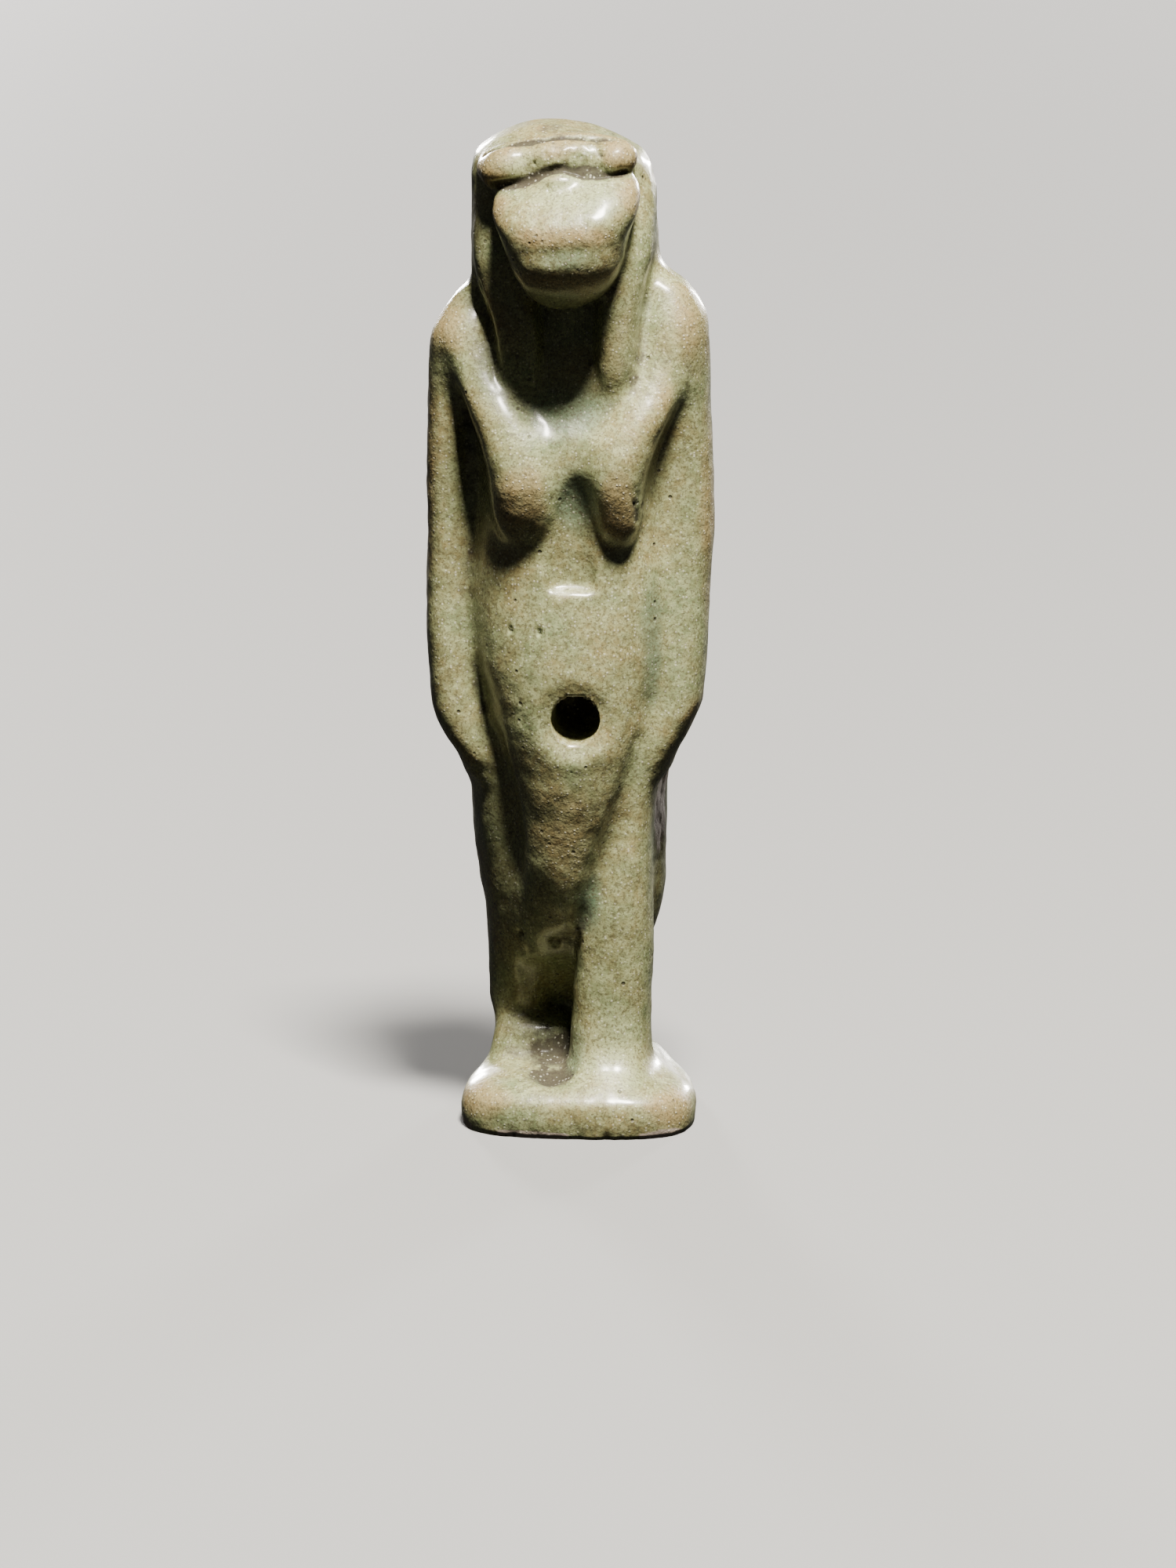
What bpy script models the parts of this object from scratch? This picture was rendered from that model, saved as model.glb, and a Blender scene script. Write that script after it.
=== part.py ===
"""A small moulded faience figure of a standing hippopotamus goddess, on its own low base.

The whole figure was pressed in one mould, so it is one solid. Each mass of the body is a loft of rounded sections
stacked up the figure. The masses overlap, and a voxel remesh fuses and softens them, as the glaze did.
+X is to the right of someone who faces the figure, -Y is its front and +Z is up. The origin is the middle of the
underside of the base.
"""

import math

import bmesh
import bpy
from mathutils import Matrix

# Driving sizes, in metres
BODY_HEIGHT = 0.0479
BASE_WIDTH = 0.0115
BASE_DEPTH = 0.0126
BASE_THICKNESS = 0.0021
BASE_AHEAD = 0.0014
BASE_ASIDE = 0.0007
PILLAR_WIDTH = 0.0048
PILLAR_BACK = 0.0045
NAVEL_RADIUS = 0.00122
NAVEL_DEPTH = 0.0045

# The pose and the carving are in hundredths of the body's height, counted up from the top of the base
SHARE = BODY_HEIGHT / 100
HEAD_TILT = 0.1

# Surface of the fused solid
VOXEL = 0.5 * SHARE
SOFTENING_STEPS = 7
KEPT_SHARE_OF_FACES = 0.1
RING_POINTS = 32

# Colours and finish of the glaze
GLAZE_COLOUR = (0.36, 0.38, 0.26, 1.0)
GLAZE_ROUGHNESS = 0.35


def clear_scene():
    for obj in list(bpy.data.objects):
        bpy.data.objects.remove(obj, do_unlink=True)


def collection(name):
    made = bpy.data.collections.new(name)
    bpy.context.scene.collection.children.link(made)
    return made


def section_point(angle, half_width, half_depth, squareness):
    """A point on a superellipse: squareness 2 is an ellipse, and more is nearer a rectangle."""
    c, s = math.cos(angle), math.sin(angle)
    power = 2 / squareness
    return (
        half_width * math.copysign(abs(c) ** power, c),
        half_depth * math.copysign(abs(s) ** power, s),
    )


def loft(mesh, rings, squareness=2.0, narrowing=0.0, roll=0.0):
    """Skins rings of (height, middle x, middle y, half width, half depth), all in shares.

    narrowing draws a section's back in and spreads its front, and roll tips each ring about the front-back line.
    """
    loops = []
    for height, x, y, half_width, half_depth in rings:
        loop = []
        for step in range(RING_POINTS):
            px, py = section_point(math.tau * step / RING_POINTS, half_width, half_depth, squareness)
            px *= 1 - narrowing * py / half_depth
            rise = BASE_THICKNESS + (height + roll * px) * SHARE
            loop.append(mesh.verts.new(((x + px) * SHARE, (y + py) * SHARE, rise)))
        loops.append(loop)
    for low, high in zip(loops, loops[1:]):
        for step in range(RING_POINTS):
            after = (step + 1) % RING_POINTS
            mesh.faces.new((low[step], low[after], high[after], high[step]))
    mesh.faces.new(reversed(loops[0]))
    mesh.faces.new(loops[-1])


def ellipsoid(mesh, middle, radii, roll=0.0):
    """A ball of the given radii about a middle, both in shares."""
    x, y, height = middle
    place = Matrix.Translation((x * SHARE, y * SHARE, BASE_THICKNESS + height * SHARE))
    turn = Matrix.Rotation(-math.atan(roll), 4, "Y")
    scale = Matrix.Diagonal([SHARE * value for value in radii] + [1.0])
    bmesh.ops.create_uvsphere(
        mesh, u_segments=RING_POINTS, v_segments=RING_POINTS // 2, radius=1.0, matrix=place @ turn @ scale
    )


def torso(mesh):
    loft(
        mesh,
        [
            (24.84, 0.21, 1.67, 6.26, 3.76),
            (31.11, 0.0, 1.46, 8.98, 4.8),
            (41.54, -0.2, 1.4, 11.7, 5.1),
            (58.25, -0.1, 1.4, 12.1, 5.1),
            (70.77, 0.0, 1.4, 12.0, 5.0),
            (78.08, 0.0, 1.3, 10.2, 4.6),
            (81.21, 0.0, 1.3, 6.8, 3.4),
        ],
        squareness=2.8,
    )


def belly(mesh):
    loft(
        mesh,
        [
            (16.49, 1.25, 0.42, 1.25, 2.71),
            (19.62, 1.15, -0.84, 2.92, 4.59),
            (23.8, 0.94, -1.77, 4.8, 6.05),
            (27.97, 0.84, -2.71, 6.26, 7.52),
            (32.15, 0.73, -3.34, 7.52, 8.56),
            (36.33, 0.63, -3.76, 8.35, 8.87),
            (40.5, 0.42, -3.76, 8.98, 8.77),
            (45.72, 0.21, -3.34, 9.29, 8.35),
            (51.98, 0.1, -2.71, 9.6, 7.52),
            (58.25, 0.1, -2.09, 9.6, 6.89),
            (65.55, 0.21, -1.67, 9.19, 6.05),
            (70.77, 0.42, -1.25, 8.35, 4.8),
            (73.9, 0.42, -0.84, 5.85, 3.13),
        ],
        squareness=2.3,
    )


def chest(mesh):
    """Long breasts that start at the shoulders, join over the breastbone and hang to free tips."""
    loft(
        mesh,
        [
            (54.91, -2.92, -9.6, 0.84, 1.04),
            (56.37, -2.92, -9.29, 1.98, 2.71),
            (58.87, -3.13, -8.56, 3.13, 3.86),
            (61.9, -3.13, -7.62, 4.07, 4.7),
            (65.55, -4.18, -6.26, 4.7, 4.91),
            (69.73, -6.26, -4.8, 4.07, 4.59),
            (74.95, -8.98, -2.82, 2.92, 3.65),
            (79.12, -10.33, -1.46, 2.51, 2.92),
            (81.63, -10.23, -0.63, 1.25, 1.46),
        ],
    )
    loft(
        mesh,
        [
            (54.7, 5.64, -9.81, 0.73, 0.94),
            (56.37, 5.64, -9.6, 1.67, 2.3),
            (59.29, 5.53, -8.77, 2.4, 3.65),
            (62.42, 5.53, -7.72, 2.92, 4.49),
            (65.55, 5.95, -6.58, 3.24, 4.91),
            (69.73, 7.31, -5.11, 3.34, 4.59),
            (74.95, 9.19, -2.82, 3.13, 3.97),
            (80.17, 10.13, -1.46, 2.82, 3.13),
            (82.88, 9.81, -0.63, 1.46, 1.67),
        ],
    )
    loft(
        mesh,
        [
            (62.0, 1.46, -3.55, 1.46, 3.34),
            (64.09, 1.36, -4.38, 3.55, 4.49),
            (66.6, 1.15, -4.59, 6.26, 5.11),
            (69.73, 0.94, -3.76, 7.72, 5.11),
            (74.95, 0.63, -2.09, 8.14, 4.59),
            (79.12, 0.21, -0.84, 7.72, 4.18),
        ],
        squareness=2.5,
    )


def arms(mesh):
    """Arms held straight down, the hands brought forward on to the thighs."""
    loft(
        mesh,
        [
            (32.36, -9.6, -2.92, 1.04, 2.3),
            (33.82, -9.81, -2.82, 1.88, 3.76),
            (35.91, -10.65, -2.51, 2.51, 4.59),
            (39.46, -11.59, -1.98, 2.87, 5.01),
            (44.68, -12.11, -1.36, 2.92, 5.01),
            (50.94, -12.42, -0.63, 2.71, 4.7),
            (58.25, -12.63, -0.1, 2.51, 4.38),
            (65.55, -12.84, 0.21, 2.35, 4.18),
            (71.82, -12.63, 0.31, 2.4, 4.18),
            (75.47, -12.42, 0.42, 2.51, 4.07),
            (77.87, -11.8, 0.42, 2.82, 3.86),
            (80.17, -10.44, 0.52, 2.51, 3.34),
            (82.25, -9.39, 0.63, 1.98, 2.51),
            (83.92, -8.77, 0.63, 1.25, 1.67),
        ],
        squareness=2.3,
    )
    loft(
        mesh,
        [
            (33.19, 9.08, -2.92, 1.04, 2.3),
            (34.45, 9.29, -2.82, 1.77, 3.76),
            (36.33, 9.92, -2.51, 2.51, 4.59),
            (40.08, 11.17, -1.98, 2.82, 5.01),
            (44.68, 11.59, -1.36, 2.71, 5.01),
            (50.94, 12.0, -0.63, 2.51, 4.7),
            (58.25, 12.53, -0.1, 2.35, 4.38),
            (65.55, 12.63, 0.21, 2.14, 4.18),
            (71.82, 12.42, 0.31, 2.04, 4.18),
            (76.51, 11.69, 0.42, 2.51, 4.07),
            (79.65, 11.06, 0.42, 2.71, 3.76),
            (82.25, 10.02, 0.52, 2.51, 3.34),
            (84.34, 8.56, 0.63, 1.77, 2.51),
            (85.8, 7.93, 0.63, 1.15, 1.67),
        ],
        squareness=2.3,
    )


def legs(mesh):
    """The right-hand leg strides, a recessed web joins the two, and the other foot is a wedge behind it."""
    loft(
        mesh,
        [
            (-1.67, 4.59, -5.74, 4.8, 7.93),
            (0.42, 4.59, -5.85, 4.38, 7.52),
            (2.09, 4.59, -5.64, 4.12, 6.47),
            (4.49, 4.7, -5.11, 3.97, 5.53),
            (8.14, 4.8, -4.8, 3.81, 5.22),
            (14.41, 5.11, -4.7, 3.76, 5.22),
            (18.58, 5.22, -4.59, 3.65, 5.22),
            (22.76, 5.64, -4.28, 3.34, 5.11),
            (27.97, 6.47, -3.76, 3.13, 4.91),
            (33.19, 6.89, -2.71, 2.92, 4.59),
            (38.41, 7.1, -1.46, 2.3, 3.55),
            (41.54, 7.1, -0.84, 1.25, 2.09),
        ],
        squareness=2.2,
    )
    loft(
        mesh,
        [
            (-1.67, -5.43, 0.52, 3.03, 4.18),
            (5.01, -5.43, 0.63, 2.87, 3.97),
            (10.23, -5.43, 0.52, 2.82, 4.18),
            (15.45, -5.64, 0.21, 2.82, 4.59),
            (20.67, -6.05, -0.21, 3.13, 5.01),
            (26.93, -6.47, -0.42, 3.44, 5.43),
            (33.19, -6.47, -0.42, 3.55, 5.22),
            (37.37, -6.47, -0.21, 2.51, 3.76),
        ],
        squareness=2.2,
    )
    loft(
        mesh,
        [
            (-1.67, 0.0, 3.13, 5.22, 3.55),
            (7.1, 0.0, 3.55, 5.22, 3.34),
            (12.32, 0.0, 2.92, 5.22, 3.76),
            (18.58, 0.21, 1.67, 5.22, 4.59),
            (24.84, 0.42, 0.42, 5.43, 5.43),
        ],
    )
    loft(
        mesh,
        [
            (-1.67, -4.8, -6.68, 4.38, 7.93),
            (0.42, -4.8, -6.26, 4.07, 7.2),
            (2.09, -4.7, -5.11, 3.65, 5.11),
            (3.55, -4.49, -3.76, 3.34, 3.55),
            (4.8, -4.38, -2.92, 2.82, 2.3),
            (5.43, -4.38, -2.51, 1.67, 1.25),
        ],
        squareness=2.4,
    )


def haunches(mesh):
    loft(
        mesh,
        [
            (2.92, -5.11, 1.67, 2.3, 2.92),
            (10.23, -5.32, 1.88, 2.82, 3.97),
            (16.49, -5.64, 1.98, 3.13, 4.38),
            (20.67, -6.05, 1.98, 3.44, 4.7),
            (26.93, -6.47, 1.88, 3.76, 4.8),
            (33.19, -6.68, 1.67, 3.86, 4.8),
            (41.54, -7.1, 1.46, 3.34, 4.18),
            (45.72, -7.1, 1.46, 1.88, 2.51),
        ],
        squareness=2.4,
    )
    loft(
        mesh,
        [
            (-1.67, 3.76, 2.71, 3.55, 3.97),
            (8.14, 3.97, 2.71, 3.55, 3.97),
            (12.73, 4.59, 2.61, 3.55, 4.18),
            (14.82, 5.22, 2.51, 3.55, 4.38),
            (16.91, 5.64, 2.51, 3.76, 4.7),
            (19.62, 5.85, 2.51, 3.86, 4.91),
            (26.93, 5.95, 2.3, 3.86, 4.91),
            (35.28, 6.26, 1.88, 3.86, 4.7),
            (41.54, 6.78, 1.57, 3.34, 4.18),
            (45.72, 6.78, 1.57, 1.88, 2.51),
        ],
        squareness=2.4,
    )


def wig(mesh):
    """A cap with a low dome, whose two front strands lie over the shoulders and end on the chest."""
    loft(
        mesh,
        [
            (75.99, -0.73, 1.67, 7.93, 4.38),
            (79.12, -0.73, 1.46, 9.19, 5.01),
            (84.34, -0.73, 1.15, 9.81, 5.64),
            (89.56, -0.84, 0.84, 9.6, 6.26),
            (94.78, -1.15, 0.63, 9.29, 6.58),
            (96.66, -1.25, 0.42, 8.77, 6.37),
            (98.12, -1.57, 0.21, 6.89, 5.64),
            (99.27, -1.98, 0.0, 4.38, 4.38),
            (100.0, -2.19, -0.21, 1.98, 2.3),
        ],
        squareness=2.9,
    )
    loft(
        mesh,
        [
            (72.23, -4.91, -4.59, 0.73, 0.94),
            (73.07, -4.91, -4.59, 1.57, 1.98),
            (74.95, -5.11, -4.38, 2.3, 2.92),
            (79.12, -5.95, -3.76, 2.71, 3.55),
            (85.39, -6.89, -2.71, 2.92, 4.18),
            (91.65, -7.2, -1.88, 3.03, 4.18),
        ],
        squareness=2.6,
    )
    loft(
        mesh,
        [
            (73.07, 5.11, -4.59, 0.73, 0.94),
            (73.9, 5.11, -4.59, 1.46, 1.98),
            (75.78, 5.22, -4.38, 2.09, 2.92),
            (79.12, 5.64, -3.76, 2.61, 3.55),
            (85.39, 6.26, -2.92, 2.82, 4.18),
            (91.65, 6.05, -1.88, 2.82, 4.18),
        ],
        squareness=2.6,
    )


def head(mesh):
    """A hippopotamus's head: a band of brow with two worn eyes, and a snout that juts out and hangs."""
    ellipsoid(mesh, (-0.63, -3.97, 96.03), (8.56, 3.34, 2.82), roll=HEAD_TILT)
    ellipsoid(mesh, (-5.01, -5.74, 96.14), (2.92, 2.19, 1.98), roll=HEAD_TILT)
    ellipsoid(mesh, (4.8, -5.74, 97.08), (2.71, 2.19, 1.98), roll=HEAD_TILT)
    loft(
        mesh,
        [
            (82.46, 0.94, -7.72, 1.04, 1.67),
            (83.3, 0.94, -7.93, 2.4, 3.13),
            (84.76, 0.84, -8.35, 3.76, 4.49),
            (86.43, 0.63, -8.66, 4.91, 5.53),
            (88.31, 0.42, -8.87, 5.74, 6.16),
            (90.19, 0.21, -8.77, 6.58, 6.47),
            (91.86, 0.21, -8.35, 7.31, 6.47),
            (93.32, 0.21, -7.72, 7.72, 5.22),
            (94.57, 0.21, -6.89, 7.52, 3.34),
            (95.3, 0.21, -6.26, 6.47, 1.67),
        ],
        squareness=2.5,
        roll=HEAD_TILT,
    )
    loft(mesh, [(75.99, 0.63, -1.67, 3.76, 3.76), (85.39, 0.63, -2.92, 3.97, 4.18)])


def back_pillar(mesh):
    half_width = PILLAR_WIDTH / 2 / SHARE
    half_depth = 4.2
    middle = PILLAR_BACK / SHARE - half_depth
    loft(
        mesh,
        [
            (-3.0, 0.0, middle, half_width, half_depth),
            (83.0, -0.3, middle, half_width, half_depth),
            (85.5, -0.3, middle - 1.6, half_width, half_depth),
        ],
        squareness=6.0,
    )


def base(mesh):
    """A plate that narrows to the back, with a rounded edge and a bank up to the feet."""
    x = BASE_ASIDE / SHARE
    y = -BASE_AHEAD / SHARE
    half_depth = BASE_DEPTH / 2 / SHARE
    thick = BASE_THICKNESS / SHARE
    narrowing = 0.22
    swell = max(
        px * (1 - narrowing * py)
        for px, py in (section_point(math.tau * step / 360, 1, 1, 3.0) for step in range(360))
    )
    half_width = BASE_WIDTH / 2 / SHARE / swell
    loft(
        mesh,
        [
            (-1.7 * thick, x, y, half_width - 0.5, half_depth - 0.5),
            (-0.65 * thick, x, y, half_width, half_depth),
            (-0.25 * thick, x, y, half_width - 0.6, half_depth - 0.5),
            (0.0, x, y, half_width - 1.9, half_depth - 1.6),
            (1.5, x - 0.2, y + 0.6, half_width - 3.3, half_depth - 3.5),
        ],
        squareness=3.0,
        narrowing=narrowing,
    )


def glaze():
    material = bpy.data.materials.new("glazed_faience")
    material.use_nodes = True
    shader = material.node_tree.nodes["Principled BSDF"]
    shader.inputs["Base Color"].default_value = GLAZE_COLOUR
    shader.inputs["Roughness"].default_value = GLAZE_ROUGHNESS
    shader.inputs["Metallic"].default_value = 0.0
    return material


def cutter(name, cutters, radius, length, place):
    mesh = bmesh.new()
    bmesh.ops.create_cone(
        mesh, cap_ends=True, segments=RING_POINTS, radius1=radius, radius2=radius, depth=length, matrix=place
    )
    data = bpy.data.meshes.new(name)
    mesh.to_mesh(data)
    mesh.free()
    made = bpy.data.objects.new(name, data)
    cutters.objects.link(made)
    made.hide_render = True
    made.display_type = "WIRE"
    return made


def cut(obj, tool):
    made = obj.modifiers.new("cut_by_" + tool.name, "BOOLEAN")
    made.operation = "DIFFERENCE"
    made.solver = "EXACT"
    made.object = tool


def fuse(obj, name):
    made = obj.modifiers.new(name, "REMESH")
    made.mode = "VOXEL"
    made.voxel_size = VOXEL
    made.use_smooth_shade = True


def figure(parts, cutters):
    mesh = bmesh.new()
    for mass in (base, back_pillar, legs, haunches, torso, belly, chest, arms, wig, head):
        mass(mesh)
    data = bpy.data.meshes.new("taweret_figure")
    mesh.to_mesh(data)
    mesh.free()
    obj = bpy.data.objects.new("taweret_figure", data)
    parts.objects.link(obj)
    obj.data.materials.append(glaze())

    fuse(obj, "fuse_masses")
    navel_place = Matrix.Translation((1.36 * SHARE, -12.5 * SHARE, BASE_THICKNESS + 39.5 * SHARE))
    forward = Matrix.Rotation(math.pi / 2, 4, "X")
    navel = cutter("navel_cutter", cutters, NAVEL_RADIUS, 2 * NAVEL_DEPTH, navel_place @ forward)
    under_place = Matrix.Translation((0.0, 0.0, -BODY_HEIGHT / 2))
    underside = cutter("underside_cutter", cutters, BODY_HEIGHT, BODY_HEIGHT, under_place)
    cut(obj, navel)
    fuse(obj, "even_out")
    soften = obj.modifiers.new("soften", "SMOOTH")
    soften.factor = 0.5
    soften.iterations = SOFTENING_STEPS
    thin = obj.modifiers.new("thin_out", "DECIMATE")
    thin.ratio = KEPT_SHARE_OF_FACES
    cut(obj, underside)
    return obj


def main():
    clear_scene()
    parts = collection("Taweret figure")
    cutters = collection("Cutters")
    figure(parts, cutters)


main()
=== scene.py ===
"""A small moulded and glazed figure of a standing hippopotamus goddess.

Lengths in the tables and the modelling are hundredths of the figure's height: x to the right of someone who
faces it, y to its back and z up from the underside.
"""

import math

import bpy
import numpy as np
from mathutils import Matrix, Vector


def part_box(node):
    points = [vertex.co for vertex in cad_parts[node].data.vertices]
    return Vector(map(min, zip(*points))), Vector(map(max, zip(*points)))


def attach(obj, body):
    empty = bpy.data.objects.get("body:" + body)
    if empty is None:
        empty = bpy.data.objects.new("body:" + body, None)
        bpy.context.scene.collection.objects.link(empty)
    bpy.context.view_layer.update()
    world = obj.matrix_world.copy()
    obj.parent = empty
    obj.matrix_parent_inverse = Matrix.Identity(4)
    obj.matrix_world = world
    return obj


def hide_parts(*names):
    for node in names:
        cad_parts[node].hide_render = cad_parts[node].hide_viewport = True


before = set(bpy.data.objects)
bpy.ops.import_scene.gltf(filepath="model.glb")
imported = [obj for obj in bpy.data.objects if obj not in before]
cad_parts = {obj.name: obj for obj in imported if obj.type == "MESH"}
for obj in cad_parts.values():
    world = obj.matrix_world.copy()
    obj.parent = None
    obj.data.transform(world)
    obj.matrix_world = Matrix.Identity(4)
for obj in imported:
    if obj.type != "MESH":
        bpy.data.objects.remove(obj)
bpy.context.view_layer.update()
LOW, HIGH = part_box("taweret_figure")

bl_info = {
    "name": "Moulded hippopotamus goddess",
    "version": (1, 0, 0),
    "blender": (4, 5, 0),
    "location": "3D View > Sidebar > Figure",
    "description": "Builds the carved surface, the worn glaze and the studio of a small faience figure",
    "category": "Object",
}


# Masses: (height, x, y, half width, half depth)

BASE = [
    (-3, 1.3, -2.8, 11.1, 12.1), (1.5, 1.3, -2.8, 11.5, 12.5), (3.2, 1.3, -2.8, 11.1, 12.3),
    (3.9, 1.3, -2.7, 10.4, 11.8), (4.5, 1.2, -2.6, 9.3, 10.9), (5, 1.1, -2.4, 8, 9.6),
    (5.4, 1, -2.2, 6.6, 8.2),
]
PILLAR = [(1.0, 0.0, 5.0, 4.8, 4.0), (84.0, -0.3, 5.0, 4.8, 4.0), (86.0, -0.3, 3.6, 4.8, 4.0)]
STRIDING_LEG = [
    (2.6, 4.4, -5.5, 4.6, 7.8), (4.6, 4.4, -5.6, 4.3, 7), (6.2, 4.35, -5.4, 4.1, 5.8),
    (8.5, 4.35, -4.9, 4, 5.1), (12, 4.45, -4.6, 3.9, 5), (18, 4.75, -4.5, 3.8, 5), (22, 4.8, -4.4, 3.7, 5),
    (26, 5.1, -4.1, 3.3, 5), (31, 5.6, -3.6, 2.9, 5), (36, 6, -2.8, 2.7, 4.8), (41, 6.6, -1.6, 2.2, 3.8),
    (44, 6.8, -0.8, 1.2, 2.2),
]
STANDING_LEG = [
    (2.6, -5.2, 0.8, 2.9, 3.6), (9, -5.3, 1.2, 2.7, 3.4), (12, -5.3, 1, 2.7, 3.5), (16, -5.3, 0.6, 2.8, 4.2),
    (20, -5.4, 0.2, 2.9, 4.8), (24, -5.8, -0.3, 3.1, 5.2), (30, -6.2, -0.7, 3.3, 5.5),
    (36, -6.3, -0.9, 3.4, 5.3), (40, -6.3, -0.6, 2.5, 4),
]
WEB = [
    (2.6, 0, 4, 5, 3.4), (9, -0.4, 3.6, 5, 3.4), (11, -0.4, 3.2, 5.2, 3.8), (14, -0.6, 2.3, 5.4, 5.3),
    (17, -0.8, 1.2, 5.6, 7.2), (20, -0.8, 0.3, 5.8, 8.2), (23, -0.6, -0.1, 5.8, 8.8),
    (26, -0.2, -0.4, 5.6, 9.2), (30, 0.2, -0.6, 5.2, 9.2),
]
REAR_FOOT = [
    (2, -4.2, -2.2, 4.5, 5.2), (4.2, -4.1, -2, 4.5, 4.4), (5.4, -4, -1.8, 4.3, 3.8),
    (7, -3.9, -1.6, 4.1, 3.3), (8.2, -3.8, -1.5, 3.8, 2.9), (8.9, -3.8, -1.4, 3.2, 2.3),
    (9.3, -3.8, -1.3, 2.2, 1.5),
]
LEFT_HAUNCH = [
    (7, -4.9, 1.6, 2.2, 2.8), (14, -5.1, 1.8, 2.7, 3.8), (20, -5.4, 1.9, 3, 4.2), (24, -5.8, 1.9, 3.3, 4.5),
    (30, -6.2, 1.8, 3.6, 4.6), (36, -6.4, 1.6, 3.7, 4.6), (44, -6.8, 1.4, 3.2, 4), (48, -6.8, 1.4, 1.8, 2.4),
]
RIGHT_HAUNCH = [
    (2.6, 3.6, 2.6, 3.4, 3.8), (12, 3.8, 2.6, 3.4, 3.8), (16.4, 4.4, 2.5, 3.4, 4), (18.4, 5, 2.4, 3.4, 4.2),
    (20.4, 5.4, 2.4, 3.6, 4.5), (23, 5.6, 2.4, 3.7, 4.7), (30, 5.7, 2.2, 3.7, 4.7), (38, 6, 1.8, 3.7, 4.5),
    (44, 6.5, 1.5, 3.2, 4), (48, 6.5, 1.5, 1.8, 2.4),
]
TORSO = [
    (28, 0.2, 1.6, 6, 3.6), (34, 0, 1.4, 8.6, 4.6), (44, -0.2, 1.34, 11.2, 4.9), (60, -0.1, 1.34, 11.6, 4.9),
    (72, 0, 1.34, 11.5, 4.8), (79, 0, 1.25, 9.8, 4.4), (82, 0, 1.25, 6.5, 3.26),
]
BELLY = [
    (21, 0.4, -2.4, 1.4, 5.6), (23.6, 0.2, -2.6, 3.2, 6.8), (26, 0.1, -2.9, 4.5, 7.3),
    (29, 0.3, -3.1, 5.5, 7.9), (32, 0.6, -3.4, 6.3, 8.3), (35, 0.7, -3.6, 7.1, 8.5), (39, 0.6, -3.7, 8, 8.6),
    (43, 0.4, -3.6, 8.6, 8.6), (48, 0.2, -3.3, 9.6, 8.3), (54, 0.1, -2.8, 9.9, 7.7),
    (60, 0.1, -2.2, 9.2, 7.2), (67, 0.2, -1.7, 8.8, 6), (72, 0.4, -1.2, 8, 4.6), (75, 0.4, -0.8, 5.6, 3),
]
LEFT_BREAST = [
    (57.8, -3.4, -7.4, 0.9, 1), (58.4, -3.4, -7.2, 1.9, 1.8), (59.4, -3.6, -7, 2.6, 2.6),
    (60.8, -3.75, -6.9, 3.2, 3.5), (62.2, -3.85, -6.8, 3.5, 4.2), (63.8, -3.9, -6.7, 3.65, 4.7),
    (65.6, -4, -6.5, 3.75, 5.1), (68.6, -4.7, -5.7, 3.8, 5.1), (71.5, -6.2, -4.6, 3.6, 4.8),
    (76, -8.6, -2.9, 3, 3.7), (80, -9.8, -1.5, 2.5, 2.9), (82.4, -9.8, -0.6, 1.2, 1.4),
]
RIGHT_BREAST = [
    (58.9, 5.2, -7.8, 0.7, 0.8), (59.6, 5.2, -7.8, 1.5, 1.6), (60.7, 5.25, -7.8, 2.05, 2.5),
    (62.2, 5.25, -7.7, 2.35, 3.2), (63.8, 5.2, -7.6, 2.55, 3.7), (65.4, 5.2, -7.4, 2.8, 4.1),
    (67, 5.3, -7, 3.1, 4.4), (69, 5.7, -6.2, 3.4, 4.7), (72, 7, -4.8, 3.5, 4.5), (76, 8.9, -2.7, 3.1, 3.8),
    (81, 9.7, -1.4, 2.7, 3), (83.6, 9.4, -0.6, 1.4, 1.6),
]
BREASTBONE = [
    (57, 1.2, -4.4, 1, 3.6), (60, 1.2, -4.5, 2.2, 4), (63, 1.2, -5.2, 3, 4.2), (65.6, 1.1, -5.2, 3.8, 4.5),
    (67.5, 1.1, -5, 4.6, 4.7), (69.5, 1, -4.6, 5.6, 4.8), (72, 0.8, -3.2, 6.8, 4.6), (76, 0.6, -2, 7.6, 4.2),
    (80, 0.2, -0.8, 7.4, 3.6),
]
LEFT_ARM = [
    (35.2, -9.2, -2.8, 1, 2.2), (36.6, -9.4, -2.7, 1.8, 3.6), (38.6, -10.2, -2.4, 2.4, 4.4),
    (42, -11.1, -1.9, 2.75, 4.8), (47, -11.6, -1.3, 2.8, 4.8), (53, -11.9, -0.6, 2.6, 4.5),
    (60, -12.1, -0.1, 2.4, 4.2), (67, -12.3, 0.2, 2.25, 4), (73, -12.1, 0.3, 2.3, 4),
    (76.5, -11.9, 0.4, 2.4, 3.9), (78.8, -11.3, 0.4, 2.7, 3.7), (81, -10, 0.5, 2.4, 3.2),
    (83, -9, 0.6, 1.9, 2.4), (84.6, -8.4, 0.6, 1.2, 1.6),
]
RIGHT_ARM = [
    (36, 8.7, -2.8, 1, 2.2), (37.2, 8.9, -2.7, 1.7, 3.6), (39, 9.5, -2.4, 2.4, 4.4),
    (42.6, 10.6, -1.9, 2.8, 4.8), (47, 10.9, -1.3, 2.8, 4.8), (53, 11.1, -0.6, 2.8, 4.5),
    (60, 11.4, -0.1, 2.85, 4.2), (67, 11.5, 0.2, 2.65, 4), (73, 11.7, 0.3, 2.15, 4),
    (77.5, 11.2, 0.4, 2.4, 3.9), (80.5, 10.6, 0.4, 2.6, 3.6), (83, 9.6, 0.5, 2.4, 3.2),
    (85, 8.2, 0.6, 1.7, 2.4), (86.4, 7.6, 0.6, 1.1, 1.6),
]
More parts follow.
